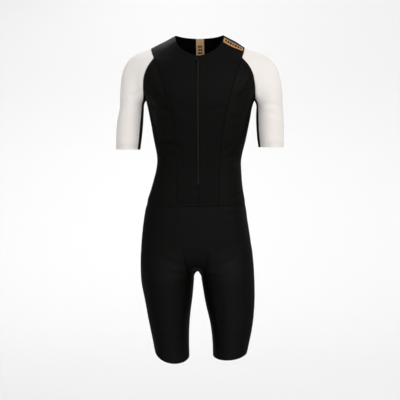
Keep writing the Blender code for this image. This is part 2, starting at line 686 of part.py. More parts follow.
def grid_normals(grid, inside):
    """Unit normals of a grid of points, turned away from a point inside."""
    normals = unit(np.cross(np.gradient(grid, axis=1), np.gradient(grid, axis=0)))
    row, column_ = grid.shape[0] // 2, grid.shape[1] // 2
    outward = normals[row, column_] @ (grid[row, column_] - np.array(inside))
    return normals * np.sign(outward)


def point_key(point):
    return tuple(np.round(point, 6) + 0.0)


def cloth_around(grid):
    """How many quarters of the cloth around each point of a grid belong to it."""
    quarters = np.full((*grid.shape[:2], 1), 4.0)
    for edge in (np.s_[0], np.s_[-1], np.s_[:, 0], np.s_[:, -1]):
        quarters[edge] /= 2
    return quarters


def shared_normals(grids):
    """For each (grid, inside) pair, normals that agree at every seam, and each point's mitre."""
    own = [grid_normals(grid, inside) for grid, inside in grids]
    total = {}
    for (grid, _), normals in zip(grids, own):
        weighted = normals * cloth_around(grid)
        for point, normal in zip(grid.reshape(-1, 3), weighted.reshape(-1, 3)):
            key = point_key(point)
            total[key] = total.get(key, 0) + normal
    shared = []
    for (grid, _), normals in zip(grids, own):
        joint = unit(np.array([total[point_key(point)] for point in grid.reshape(-1, 3)]))
        joint = joint.reshape(grid.shape)
        lean = np.maximum((joint * normals).sum(-1, keepdims=True), 1 / MITRE_LIMIT)
        shared.append((joint, 1 / lean))
    return shared


def pulled_back(points, normals, gap):
    """The grid with its four edges moved in by a gap, square to the seam and to the cloth."""
    moved = points.copy()
    for edge, next_, along in (
        (np.s_[0, :], np.s_[1, :], 0),
        (np.s_[-1, :], np.s_[-2, :], 0),
        (np.s_[:, 0], np.s_[:, 1], 0),
        (np.s_[:, -1], np.s_[:, -2], 0),
    ):
        tangent = np.gradient(points[edge], axis=along)
        square = unit(np.cross(tangent, normals[edge]))
        towards = np.sign(((points[next_] - points[edge]) * square).sum(-1, keepdims=True))
        moved[edge] += square * towards * gap
    return moved


def closed_mesh(name, layers):
    """A closed body from (seam, outer, inner) grids; grids that share an edge are joined.

    The seam points lie between two pieces and say which way each end face is split in two, so
    that the end faces of neighbours stay parallel.
    """
    index, verts, triangles = {}, [], []
    for seam, outer, inner in layers:
        ids = np.zeros(outer.shape[:2], int)
        for place in np.ndindex(ids.shape):
            key = point_key(seam[place])
            if key not in index:
                index[key] = len(index)
                verts.append((outer[place], inner[place]))
            ids[place] = index[key]
        a, b, c, d = ids[:-1, :-1], ids[:-1, 1:], ids[1:, 1:], ids[1:, :-1]
        cells = np.concatenate([np.stack([a, b, c], -1), np.stack([a, c, d], -1)]).reshape(-1, 3)
        across, down = outer[0, 1] - outer[0, 0], outer[1, 0] - outer[0, 0]
        flip = np.cross(across, down) @ (outer[0, 0] - inner[0, 0]) > 0
        triangles += [tuple(cell) if flip else tuple(cell[::-1]) for cell in cells]
    keys = list(index)
    edges = {(t[i], t[i - 2]) for t in triangles for i in range(3)}
    body = bmesh.new()
    shell = [[body.verts.new(pair[layer]) for pair in verts] for layer in (0, 1)]
    for i, j, k in triangles:
        body.faces.new((shell[0][i], shell[0][j], shell[0][k]))
        body.faces.new((shell[1][k], shell[1][j], shell[1][i]))
    for i, j in sorted(edges):
        if (j, i) in edges:
            continue
        first, last = (i, j) if keys[i] < keys[j] else (j, i)
        body.faces.new((shell[0][i], shell[0][j], shell[1][last]))
        body.faces.new((shell[1][i], shell[1][j], shell[0][first]))
    mesh = bpy.data.meshes.new(name)
    bmesh.ops.recalc_face_normals(body, faces=body.faces)
    body.to_mesh(mesh)
    body.free()
    mesh.shade_smooth()
    mesh.set_sharp_from_angle(angle=np.radians(50))
    return mesh


def cloth_layers(points, normals, mitre, thickness=CLOTH, lift=0.0):
    """The seam, outer and inner points of a wall whose outer face stands a lift above them."""
    outer = points + normals * lift * mitre
    inner = points + normals * (lift - thickness) * mitre
    gap = SEAM_GAP / 2
    return points, pulled_back(outer, normals, gap), pulled_back(inner, normals, gap)


# ---------------------------------------------------------------------------------------------
# The zip's slider and pull
# ---------------------------------------------------------------------------------------------
def box(name, size, centre):
    bpy.ops.mesh.primitive_cube_add(size=1, location=centre)
    piece = bpy.context.object
    piece.name = name
    piece.scale = size
    bpy.ops.object.transform_apply(location=False, rotation=False, scale=True)
    return piece


def rod(name, radius, length, centre):
    """A round bar along X."""
    bpy.ops.mesh.primitive_cylinder_add(vertices=20, radius=radius, depth=length, location=centre)
    piece = bpy.context.object
    piece.name = name
    piece.rotation_euler = (0, np.pi / 2, 0)
    bpy.ops.object.transform_apply(location=False, rotation=True, scale=False)
    return piece


def add_boolean(piece, operation, other):
    modifier = piece.modifiers.new(operation.title(), "BOOLEAN")
    modifier.operation = operation
    modifier.object = other


def add_bevel(piece, width, segments=2):
    modifier = piece.modifiers.new("Bevel", "BEVEL")
    modifier.width = width
    modifier.segments = segments
    modifier.limit_method = "ANGLE"


def rounded_outline(width, top, bottom, radius, steps=4):
    """Corners of an upright rectangle with round corners, as (x, z) pairs, anticlockwise."""
    corners = [
        (width / 2 - radius, bottom + radius, -90),
        (width / 2 - radius, top - radius, 0),
        (-width / 2 + radius, top - radius, 90),
        (-width / 2 + radius, bottom + radius, 180),
    ]
    for x, z, first in corners:
        for step in range(steps + 1):
            angle = np.radians(first + 90 * step / steps)
            yield x + radius * np.cos(angle), z + radius * np.sin(angle)


def make_slider(frame, guides):
    """The slider's body with the round bridge that the pull hangs in, about the pull's axis."""
    size = (SLIDER_WIDTH, SLIDER_DEPTH, SLIDER_HEIGHT)
    centre = (0, BRIDGE_REACH + SLIDER_DEPTH / 2, SLIDER_OFFSET)
    slider = box("zip_slider", size, centre)
    add_bevel(slider, SLIDER_ROUND)
    bridge = rod("slider_bridge", BRIDGE_RADIUS, BRIDGE_WIDTH, (0, 0, 0))
    eye = rod("slider_eye", EYE_RADIUS, 3 * BRIDGE_WIDTH, (0, 0, 0))
    add_boolean(slider, "UNION", bridge)
    add_boolean(slider, "DIFFERENCE", eye)
    for cutter in (bridge, eye):
        cutter.hide_render = True
        cutter.display_type = "WIRE"
        move_to(cutter, guides)
        cutter.parent = frame
    return slider


def make_pull():
    """The flat pull tab, with the eye that takes the bridge; its axis is its origin."""
    curve = bpy.data.curves.new("zip_pull", "CURVE")
    curve.dimensions = "2D"
    curve.fill_mode = "BOTH"
    curve.extrude = PULL_THICKNESS / 2
    outlines = (
        rounded_outline(PULL_WIDTH, PULL_BAR / 2, PULL_BAR / 2 - PULL_LENGTH, PULL_ROUND),
        rounded_outline(PULL_EYE_WIDTH, -PULL_BAR / 2, -PULL_EYE_END, PULL_EYE_ROUND, 2),
    )
    for outline in outlines:
        points = list(outline)
        spline = curve.splines.new("POLY")
        spline.points.add(len(points) - 1)
        for point, (x, z) in zip(spline.points, points):
            point.co = (x, z, 0, 1)
        spline.use_cyclic_u = True
    flat = bpy.data.objects.new("zip_pull_outline", curve)
    bpy.context.scene.collection.objects.link(flat)
    mesh = bpy.data.meshes.new_from_object(flat.evaluated_get(bpy.context.evaluated_depsgraph_get()))
    bpy.data.objects.remove(flat)
    body = bmesh.new()
    body.from_mesh(mesh)
    bmesh.ops.remove_doubles(body, verts=body.verts, dist=0.00001)
    bmesh.ops.rotate(body, verts=body.verts, matrix=Matrix.Rotation(np.pi / 2, 3, "X"))
    bmesh.ops.recalc_face_normals(body, faces=body.faces)
    body.to_mesh(mesh)
    body.free()
    return bpy.data.objects.new("zip_pull", mesh)


# ---------------------------------------------------------------------------------------------
# Materials and the whole suit
# ---------------------------------------------------------------------------------------------
def material(name, colour, roughness, metallic=0.0):
    found = bpy.data.materials.get(name)
    if found:
        return found
    made = bpy.data.materials.new(name)
    made.use_nodes = True
    shader = made.node_tree.nodes["Principled BSDF"]
    shader.inputs["Base Color"].default_value = (*colour, 1)
    shader.inputs["Roughness"].default_value = roughness
    shader.inputs["Metallic"].default_value = metallic
    made.diffuse_color = (*colour, 1)
    return made


def move_to(piece, collection):
    for other in list(piece.users_collection):
        other.objects.unlink(piece)
    collection.objects.link(piece)


def suit_panels():
    """Every sewn panel: a list of (grid of points, point inside it) pairs for each."""
    panels, upper, lower = {}, {}, {}
    for side, name in ((-1, "right"), (1, "left")):
        upper[side] = upper_panels(side)
        lower[side] = lower_panels(side, upper[side])
        sleeve = sleeve_panels(side, upper[side])
        arm = limb_middle(LEFT_SLEEVE if side > 0 else RIGHT_SLEEVE, ARM_RING_Z)
        panels[f"front_{name}"] = [(upper[side]["front"], TORSO_INSIDE)]
        panels[f"side_front_{name}"] = [(upper[side]["flank"], TORSO_INSIDE)]
        panels[f"sleeve_{name}"] = [(sleeve["sleeve"], arm)]
        panels[f"sleeve_under_{name}"] = [(sleeve["under"], arm)]
    back = np.concatenate([upper[-1]["back"][:, :0:-1], upper[1]["back"]], axis=1)
    panels["back"] = [(back, TORSO_INSIDE)]
    legs = {-1: limb_middle(RIGHT_LEG, LEG_TOP_Z), 1: limb_middle(LEFT_LEG, LEG_TOP_Z)}
    for face in ("front", "back"):
        panels[f"shorts_{face}"] = [(lower[side][face], legs[side]) for side in (-1, 1)]
    panels["gusset"] = [(gusset_panel(lower[1], lower[-1]), (0, 0.01, LEG_TOP_Z))]
    slit = [upper[side]["front"][LOW_ROWS:, 0] for side in (-1, 1)]
    chain = np.stack([slit[0], (slit[0] + slit[1]) / 2, slit[1]], axis=1)
    panels["zip_chain"] = [(chain, TORSO_INSIDE)]
    return panels


def limb_middle(table, z):
    return column(table, "x", z), column(table, "y", z), z


def with_normals(panels):
    """The panels with (grid, normals, mitre) in place of each (grid, inside) pair."""
    shared = iter(shared_normals([pair for pairs in panels.values() for pair in pairs]))
    return {
        name: [(grid, *next(shared)) for grid, _ in pairs] for name, pairs in panels.items()
    }


def folded(panels):
    """The panels with the largest folds pressed into them."""
    pressed = {}
    for name, grids in with_normals(panels).items():
        pressed[name] = [
            (grid + normals * fold_height(grid)[..., None], inside)
            for (grid, normals, _), (_, inside) in zip(grids, panels[name])
        ]
    return pressed


def joined_at_centre(layers):
    """Makes the two halves of a piece meet on the rows above the gusset."""
    rows = np.s_[: CENTRE_ROWS + 1, 0]
    for right, left in zip(*layers):
        right[rows] = left[rows] = (right[rows] + left[rows]) / 2
    return layers


def make_cloth(suit):
    panels = with_normals(folded(suit_panels()))
    meshes = {}
    for name, grids in panels.items():
        layers = [cloth_layers(*grid) for grid in grids]
        if len(layers) == 2:
            layers = joined_at_centre(layers)
        meshes[name] = closed_mesh(name, layers)

    middle = panels["back"][0][0].shape[1] // 2
    neck = np.s_[-NECK_TAPE_ROWS:, middle - 1 : middle + 2]
    inside = [part[neck] for part in panels["back"][0]]
    lift = -CLOTH - LAYER_GAP
    meshes["neck_tape"] = closed_mesh("neck_tape", [cloth_layers(*inside, TAPE, lift)])
    ridge = np.s_[TORSO_ROWS + CAP_EDGE_ROWS :, -3:-1]
    outside = [part[ridge] for part in panels["front_left"][0]]
    lift = LAYER_GAP + TAPE
    meshes["shoulder_tape"] = closed_mesh("shoulder_tape", [cloth_layers(*outside, TAPE, lift)])

    for name, mesh in meshes.items():
        piece = bpy.data.objects.new(name, mesh)
        suit.objects.link(piece)
        mesh.materials.append(CLOTH_MATERIALS.get(name, black)())
    return panels["zip_chain"][0][0][:, 1]


def black():
    return material("black_knit", (0.012, 0.012, 0.014), 0.55)


def white():
    return material("white_knit", (0.80, 0.78, 0.75), 0.60)


def tan():
    return material("tan_tape", (0.52, 0.26, 0.10), 0.55)


def grey():
    return material("zip_teeth", (0.25, 0.25, 0.25), 0.45)


def metal():
    return material("zip_metal", (0.42, 0.41, 0.40), 0.35, 0.9)


CLOTH_MATERIALS = {
    "sleeve_left": white,
    "sleeve_right": white,
    "neck_tape": tan,
    "shoulder_tape": tan,
    "zip_chain": grey,
}


def make_zip_parts(suit, guides, zip_line):
    """The slider and the pull, laid along the slope of the zip at the slider."""
    heights = zip_line[:, 2]
    y = np.interp(SLIDER_Z, heights, zip_line[:, 1])
    y_above = np.interp(SLIDER_Z + SLIDER_SLOPE, heights, zip_line[:, 1])
    slope = -np.arctan2(y_above - y, SLIDER_SLOPE)
    stand_off = BRIDGE_REACH + SLIDER_DEPTH + SLIDER_GAP
    frame = bpy.data.objects.new("zip_frame", None)
    frame.location = (0, y - stand_off * np.cos(slope), SLIDER_Z - stand_off * np.sin(slope))
    frame.rotation_euler = (slope, 0, 0)
    guides.objects.link(frame)
    slider = make_slider(frame, guides)
    pull = make_pull()
    pull.rotation_euler = (0, np.radians(PULL_SLANT), 0)
    for piece in (slider, pull):
        move_to(piece, suit)
        piece.parent = frame
        piece.data.materials.append(metal())


def main():
    for old in list(bpy.data.objects):
        bpy.data.objects.remove(old, do_unlink=True)
    suit = bpy.data.collections.new("triathlon_suit")
    guides = bpy.data.collections.new("guides")
    for collection in (suit, guides):
        bpy.context.scene.collection.children.link(collection)
    make_zip_parts(suit, guides, make_cloth(suit))


main()
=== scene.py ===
"""Looks of a short-sleeved triathlon suit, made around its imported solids.

Metres, +Z up.  The suit faces -Y and the wearer's left is towards +X.  The outer faces of the cloth
solids are sewn into one smooth skin, which gets the creases and is then cut along its seams into
thin panels.  Threads, the zip's coil and the tapes lie on that skin.
"""

from collections import namedtuple

import bmesh
import bpy
import numpy as np
from bpy.props import FloatProperty, FloatVectorProperty, IntProperty, PointerProperty
from bpy.types import Operator, Panel, PropertyGroup
from mathutils import Matrix, Vector, noise
from mathutils.bvhtree import BVHTree
from mathutils.kdtree import KDTree


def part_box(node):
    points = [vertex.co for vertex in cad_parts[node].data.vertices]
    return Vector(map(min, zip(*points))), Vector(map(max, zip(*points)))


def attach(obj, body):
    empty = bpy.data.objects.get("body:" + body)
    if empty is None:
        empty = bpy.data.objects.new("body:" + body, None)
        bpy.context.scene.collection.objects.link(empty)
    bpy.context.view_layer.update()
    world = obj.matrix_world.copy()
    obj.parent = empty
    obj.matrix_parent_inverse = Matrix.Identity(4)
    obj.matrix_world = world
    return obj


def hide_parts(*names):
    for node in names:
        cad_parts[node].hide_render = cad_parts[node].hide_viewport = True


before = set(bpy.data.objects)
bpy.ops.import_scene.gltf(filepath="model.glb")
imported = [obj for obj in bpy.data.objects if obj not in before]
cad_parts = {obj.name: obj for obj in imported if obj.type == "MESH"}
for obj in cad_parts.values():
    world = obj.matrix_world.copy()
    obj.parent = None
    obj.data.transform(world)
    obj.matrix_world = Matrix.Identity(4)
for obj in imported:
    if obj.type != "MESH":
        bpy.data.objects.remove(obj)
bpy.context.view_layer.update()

bl_info = {
    "name": "Triathlon suit",
    "version": (1, 0, 0),
    "blender": (4, 5, 0),
    "location": "View3D > Sidebar > Suit",
    "description": "Dresses the solids of a triathlon suit in cloth, threads, zip and tapes",
    "category": "Object",
}

# --- What is made of what ---
SUIT_BODY = "suit"
BODY_PANELS = ("front_left", "front_right", "back")
SIDE_PANELS = ("side_front_left", "side_front_right", "sleeve_under_left", "sleeve_under_right")
SLEEVES = ("sleeve_left", "sleeve_right")
SHORTS = ("shorts_front", "shorts_back", "gusset")
PANELS = BODY_PANELS + SIDE_PANELS + SLEEVES + SHORTS
FINE_PANELS = BODY_PANELS + SIDE_PANELS + SLEEVES  # these get one more level of detail

MERGE = 0.00001  # loose triangles of a solid are joined at this distance
WALL_REACH = 0.0017  # the two faces of a wall lie closer than this
BEND = np.radians(40)  # a wall's face bends less than this from one facet to the next
WALL_FACING = -0.86  # how far they face away from each other, as the product of their normals
SEAM_REACH = 0.0023  # the points of two panels that are sewn lie closer than this
SLOT_REACH = 0.0012  # the same beside the zip's slot
SLOT_SIDE = 0.005  # and how far from the middle that holds
HOLE_SIDES = 8  # a hole with no more sides than this is closed
SEAM_ROUNDS = 2  # rounds in which the line of each seam is evened out
SHORT_SEAM = 4  # a chain with fewer points than this is no seam
MARK_STEP = 0.001  # between the points that distances to seams and hems are measured from
LEAST_CUT = 0.301  # the least share of its flat rectangle that a sheet fills
SHARP = np.radians(48)  # an edge that bends more than this is shaded sharp
ROW_STEP = 0.003  # between the points that a row beside an edge is led through
ROW_KEPT = 0.93  # a row is cut where it comes closer to the edge than this share of its distance

# The middle of each hollow, from top to bottom, to tell the outer face of a wall from the inner.
Bone = namedtuple("Bone", "top bottom")
TRUNK = (Bone((0.0, 0.005, -0.05), (0.0, 0.005, -0.60)),)
LEGS = (
    Bone((-0.093, 0.010, -0.60), (-0.079, 0.014, -0.94)),
    Bone((0.078, 0.010, -0.60), (0.086, -0.008, -0.94)),
)
ARMS = (
    Bone((-0.170, 0.006, -0.07), (-0.2095, 0.002, -0.30)),
    Bone((0.170, 0.006, -0.07), (0.2095, 0.002, -0.30)),
)

# Creases: a line on the front (face -1) or the back (face 1), its bow to one side, how deep it is
# (a ridge when negative) and how wide.
Crease = namedtuple("Crease", "x0 z0 x1 z1 face bow depth width")
WANDER = 0.0035  # how far a crease strays from its line
WANDER_SIZE = 0.024  # over which length it does
CREASES = (
    # Front of the chest and armpits
    Crease(0.158, -0.098, 0.112, -0.150, -1, 0.004, 0.0022, 0.0070),
    Crease(0.156, -0.118, 0.122, -0.182, -1, 0.003, 0.0016, 0.0060),
    Crease(0.150, -0.075, 0.118, -0.112, -1, -0.003, 0.0012, 0.0060),
    Crease(-0.158, -0.104, -0.116, -0.148, -1, -0.003, 0.0018, 0.0065),
    Crease(-0.153, -0.128, -0.122, -0.186, -1, 0.003, 0.0015, 0.0060),
    Crease(-0.126, -0.176, -0.076, -0.190, -1, 0.004, 0.0026, 0.0080),
    Crease(-0.110, -0.204, -0.074, -0.212, -1, -0.002, 0.0012, 0.0060),
    Crease(0.126, -0.196, 0.082, -0.212, -1, 0.003, 0.0013, 0.0070),
    Crease(-0.060, -0.178, -0.012, -0.190, -1, -0.003, 0.0010, 0.0080),
    Crease(0.016, -0.186, 0.070, -0.176, -1, -0.003, 0.0010, 0.0080),
    # Front of the waist
    Crease(-0.128, -0.276, -0.052, -0.292, -1, 0.004, 0.0020, 0.0065),
    Crease(-0.118, -0.300, -0.066, -0.312, -1, -0.003, 0.0015, 0.0060),
    Crease(-0.116, -0.330, -0.072, -0.326, -1, 0.003, 0.0012, 0.0055),
    Crease(0.122, -0.300, 0.076, -0.322, -1, 0.003, 0.0016, 0.0060),
    Crease(0.120, -0.328, 0.084, -0.338, -1, -0.002, 0.0012, 0.0055),
    Crease(0.112, -0.270, 0.070, -0.296, -1, 0.003, 0.0010, 0.0060),
    Crease(-0.048, -0.340, -0.006, -0.352, -1, 0.002, 0.0008, 0.0070),
    Crease(-0.030, -0.409, 0.017, -0.408, -1, -0.001, 0.0013, 0.0045),
    Crease(-0.058, -0.446, -0.022, -0.449, -1, 0.001, 0.0009, 0.0060),
    # Hips and the waist seam
    Crease(-0.158, -0.446, -0.110, -0.462, -1, 0.003, 0.0012, 0.0060),
    Crease(0.136, -0.424, 0.092, -0.438, -1, -0.003, 0.0014, 0.0060),
    Crease(0.130, -0.470, 0.070, -0.482, -1, 0.003, 0.0008, 0.0070),
    # Between the legs and down the thighs
    Crease(-0.034, -0.628, -0.112, -0.600, -1, 0.006, 0.0018, 0.0090),
    Crease(0.026, -0.632, 0.104, -0.606, -1, -0.006, 0.0014, 0.0090),
    Crease(-0.030, -0.650, -0.090, -0.640, -1, 0.005, 0.0012, 0.0080),
    Crease(0.024, -0.660, 0.080, -0.650, -1, -0.004, 0.0012, 0.0080),
    Crease(0.060, -0.700, 0.064, -0.800, -1, 0.002, 0.0012, 0.0070),
    Crease(-0.060, -0.720, -0.066, -0.820, -1, -0.002, 0.0010, 0.0080),
    Crease(-0.130, -0.830, -0.086, -0.846, -1, 0.003, 0.0008, 0.0060),
    Crease(0.132, -0.826, 0.090, -0.840, -1, -0.003, 0.0008, 0.0060),
    # Sleeves
    Crease(-0.236, -0.166, -0.180, -0.136, -1, 0.005, 0.0022, 0.0075),
    Crease(-0.232, -0.196, -0.184, -0.176, -1, 0.004, 0.0013, 0.0070),
    Crease(0.246, -0.182, 0.190, -0.164, -1, -0.005, 0.0020, 0.0070),
    Crease(0.240, -0.206, 0.186, -0.190, -1, -0.004, 0.0012, 0.0070),
    Crease(-0.236, -0.254, -0.190, -0.262, -1, 0.002, 0.0007, 0.0060),
    Crease(0.240, -0.250, 0.196, -0.258, -1, 0.002, 0.0007, 0.0060),
    Crease(-0.232, -0.176, -0.182, -0.146, 1, 0.005, 0.0020, 0.0075),
    Crease(0.238, -0.180, 0.186, -0.150, 1, -0.005, 0.0020, 0.0075),
    Crease(-0.230, -0.214, -0.188, -0.200, 1, 0.003, 0.0012, 0.0070),
    Crease(0.236, -0.216, 0.192, -0.202, 1, -0.003, 0.0012, 0.0070),
    # Back
    Crease(0.156, -0.108, 0.100, -0.178, 1, 0.005, 0.0022, 0.0080),
    Crease(-0.156, -0.106, -0.104, -0.174, 1, -0.005, 0.0020, 0.0080),
    Crease(0.140, -0.150, 0.088, -0.222, 1, 0.004, 0.0014, 0.0070),
    Crease(-0.140, -0.152, -0.090, -0.216, 1, -0.004, 0.0014, 0.0070),
    Crease(-0.112, -0.312, 0.036, -0.324, 1, 0.006, 0.0020, 0.0080),
    Crease(-0.050, -0.346, 0.116, -0.336, 1, -0.006, 0.0018, 0.0080),
    Crease(-0.104, -0.362, -0.010, -0.372, 1, 0.004, 0.0014, 0.0070),
    Crease(0.010, -0.382, 0.104, -0.372, 1, 0.004, 0.0014, 0.0070),
    Crease(-0.092, -0.280, 0.004, -0.290, 1, -0.004, 0.0010, 0.0070),
    Crease(-0.110, -0.690, -0.040, -0.676, 1, 0.006, 0.0016, 0.0080),
    Crease(0.034, -0.680, 0.112, -0.692, 1, -0.006, 0.0016, 0.0080),
    Crease(-0.112, -0.716, -0.052, -0.706, 1, 0.004, 0.0010, 0.0070),
    Crease(0.044, -0.712, 0.110, -0.722, 1, -0.004, 0.0010, 0.0070),
)
# The swells beside a crease: their height, their place and their spread, in the crease's own sizes.
Swell = namedtuple("Swell", "height at spread")
SWELLS = (Swell(0.55, 1.9, 1.3), Swell(0.40, -1.8, 1.2))
# Small local moves of the sewn skin: a place, how far it moves and how far around that reaches.
Nudge = namedtuple("Nudge", "place move reach")
NUDGES = (
    Nudge((0.104, 0.006, 0.015), (0.0, 0.0, 0.0030), 0.026),  # the shoulder seam's ridge
    Nudge((0.128, 0.006, 0.002), (-0.0014, 0.0, 0.0012), 0.020),  # and its outer end
    Nudge((-0.157, 0.004, -0.153), (-0.0026, 0.0, 0.0082), 0.021),  # the armpits
    Nudge((0.158, 0.004, -0.151), (0.0040, 0.0, 0.0070), 0.021),
    Nudge((-0.0145, -0.012, -0.656), (-0.0034, 0.0, 0.0016), 0.0110),  # the corners of the gusset's arch
    Nudge((-0.0145, 0.010, -0.656), (-0.0034, 0.0, 0.0016), 0.0110),
    Nudge((0.0030, -0.012, -0.656), (0.0030, 0.0, 0.0018), 0.0110),
    Nudge((0.0030, 0.010, -0.656), (0.0030, 0.0, 0.0018), 0.0110),
)
# The two long edges of the tape on the left shoulder, from the neckline to the armhole.
SHOULDER_TAPE_TOP = (
    (0.0720, -0.0086, 0.0276), (0.0832, -0.0094, 0.0212), (0.0963, -0.0098, 0.0148),
    (0.1122, -0.0084, 0.0072), (0.1283, -0.0062, 0.0000),
)
SHOULDER_TAPE_LOW = (
    (0.0692, -0.0268, 0.0125), (0.0806, -0.0262, 0.0060), (0.0932, -0.0258, -0.0008),
    (0.1091, -0.0225, -0.0060), (0.1252, -0.0172, -0.0110),
)
SHOULDER_TAPE_SIZE = (0.0230, 0.066)  # its width and length, laid flat
SHOULDER_TAPE_FACES = (14, 44)  # and its faces across and along
TAPE_MARGIN = 0.05  # from its edges to the rows of stitches, as a share of its width
DRIFT = ((0.055, 0.0007), (0.021, 0.00028))  # sizes and heights of the cloth's slow unevenness
STITCH_LIFTS = (-0.6, 0.9, 0.9, -0.6)  # how high the points of one stitch lie, in thread radii

# The knits: a colour setting, the gauge, the roughness, the specular level, the sheen, the depth of
# the relief and how much the colour changes.
Knit = namedtuple("Knit", "name ground gauge rough shine sheen depth change")
KNITS = {
    BODY_PANELS: Knit("black_body_knit", "black", 0.0011, 0.50, 0.045, 0.004, 0.00010, 0.06),
    SIDE_PANELS: Knit("black_side_knit", "side_black", 0.0016, 0.46, 0.050, 0.005, 0.00014, 0.06),
    SHORTS: Knit("black_shorts_knit", "black", 0.0009, 0.38, 0.055, 0.003, 0.00008, 0.06),
    SLEEVES: Knit("white_sleeve_knit", "white", 0.0018, 0.62, 0.20, 0.05, 0.00022, 0.012),
}
JOINT = 0.0007  # how wide the relief of a seam's joint is, and the shade painted into it
PADDING = (0.0014, 0.0012)  # how far from the seam its padded lines lie, and how wide they are
ROW = 0.0011  # how wide a row of stitches pulls the cloth in, and the shade painted along it
TURNED = (0.0060, 0.0085)  # how far from the edge the doubled cloth is thickest, and how wide it is

ZIP_EDGE = 0.0045  # the fronts' edges at the zip lie closer to the middle than this
ZIP_OVER = 0.002  # and no higher than this above the zip's top
ZIP_ROWS = 110  # faces along the tapes
ZIP_BOW = 5  # how fast the tapes curve back from the middle
ZIP_WEB = 0.0005  # thickness of the tapes
ZIP_TOP = 0.0004  # from the top of the tapes to the top of the solid
COIL_ENDS = (0.0015, 0.0010)  # from the stop to the first turn, and from the last to the solid's top
TURN_SIDE = 0.30  # how far a turn lies to its side, as a share of the coil's half width
TURN_LENGTH = 1.4  # how long it is, in the same measure
TURN_SLANT = 0.32  # how much it leans
TURN_SPAN = 0.004  # how far above and below a turn the cloth's slope is read
STOP_BLOCK = (0.0040, 0.0012, 0.0022)  # the stop's width, depth and height
STOP_EDGE = 0.0003  # how much of its edges is rounded off

# Small woven bars on the tapes: their middle across and along the tape, their width and height.
Bar = namedtuple("Bar", "across along wide tall")
NECK_BARS = [
    Bar(side * 0.0033, 0.0369 - row * 0.0104, 0.0050, 0.0066) for row in range(3) for side in (-1, 1)
]
SHOULDER_BARS = [
    Bar(0.0008, -0.0232 + number * 0.0078, 0.0122 if number % 3 else 0.0092, 0.0060)
    for number in range(7)
]

FLOOR_HALF = 6.0  # half the side of the floor's grid
FLOOR_FRONT = 4.0  # how much of it lies flat
FLOOR_REACH = 6  # how many times longer and wider the flat part is drawn out
AIM = (0, 0, -0.42)  # where the lights point
Lamp = namedtuple("Lamp", "name place size")
LAMPS = (
    Lamp("key", (1.9, -2.1, 0.9), (1.2, 1.8)),
    Lamp("rear", (-0.7, 2.0, 2.1), (1.6, 1.6)),
    Lamp("rim", (1.5, 1.1, 0.1), (0.3, 1.6)),
)


# --- Sizes and colours that a user may change ---
def number(name, description, default, **more):
    return FloatProperty(name=name, description=description, default=default, **more)


def length(name, description, default):
    return number(name, description, default, min=0.0, unit="LENGTH", precision=5)


def colour(name, description, default):
    return FloatVectorProperty(
        name=name, description=description, default=default, subtype="COLOR", size=3, min=0.0, max=1.0
    )


class ClothSettings(PropertyGroup):
    wall: length("Wall", "Thickness of the knit", 0.0009)
    groove: length("Seam groove", "How far the cloth is drawn in at a seam", 0.0004)
    crease: number("Creases", "Share of the full crease depth", 1.0)
    levels: IntProperty(name="Levels", description="Smoothing levels of the sewn skin", default=2)
    black: colour("Black", "Black knit", (0.0026, 0.0024, 0.0022))
    side_black: colour("Side black", "Black knit of the side panels", (0.0029, 0.0027, 0.0023))
    white: colour("White", "White knit of the sleeves", (0.765, 0.727, 0.690))


class StitchSettings(PropertyGroup):
    thread: length("Thread", "Radius of the sewing thread", 0.00017)
    pitch: length("Pitch", "Length of one stitch", 0.0026)
    cover: length("Cover", "Length of one zigzag of a flat seam", 0.0019)
    reach: length("Reach", "How far a flat seam's thread reaches to each side", 0.0014)
    hem: length("Hem", "From an edge to the first of its two rows of stitches", 0.0105)
    row_gap: length("Row gap", "Between the two rows of stitches of a hem", 0.0032)
    black: colour("Black thread", "Thread on black cloth", (0.0075, 0.0072, 0.0070))
    white: colour("White thread", "Thread on the sleeves", (0.78, 0.76, 0.73))


class ZipSettings(PropertyGroup):
    pitch: length("Pitch", "Distance between two turns of the coil", 0.0013)
    turn: length("Turn", "Radius of the coil's wire", 0.00042)
    reach: length("Reach", "Half width of the closed coil", 0.0017)
    half_width: length("Half width", "Half of the two woven tapes, mostly hidden behind the fronts", 0.0070)
    depth: length("Depth", "How far the woven tapes lie below the cloth's face", 0.0013)
    below: length("Below", "How far the tapes reach below the coil's solid", 0.0200)
    sunk: length("Sunk", "How far the middle of the coil lies below the cloth's face", 0.0008)
    stop: length("Stop", "Height of the bottom stop above the end of the tapes", 0.0140)
    coil: colour("Coil", "Nylon coil", (0.0340, 0.0310, 0.0240))
    tape: colour("Tape", "Woven zip tape", (0.0030, 0.0028, 0.0025))
    enamel: colour("Enamel", "Enamel of the slider and the pull", (0.0018, 0.0016, 0.0015))


class TapeSettings(PropertyGroup):
    wall: length("Wall", "Thickness of the woven tape", 0.0008)
    lift: length("Lift", "Between a tape and the cloth that it lies on", 0.0002)
    tan: colour("Tan", "Ground of the tape", (0.46, 0.245, 0.098))
    sand: colour("Sand", "Ground of the tape inside the neck", (0.74, 0.46, 0.25))
    mark: colour("Marks", "Small woven bars", (0.005, 0.004, 0.0035))


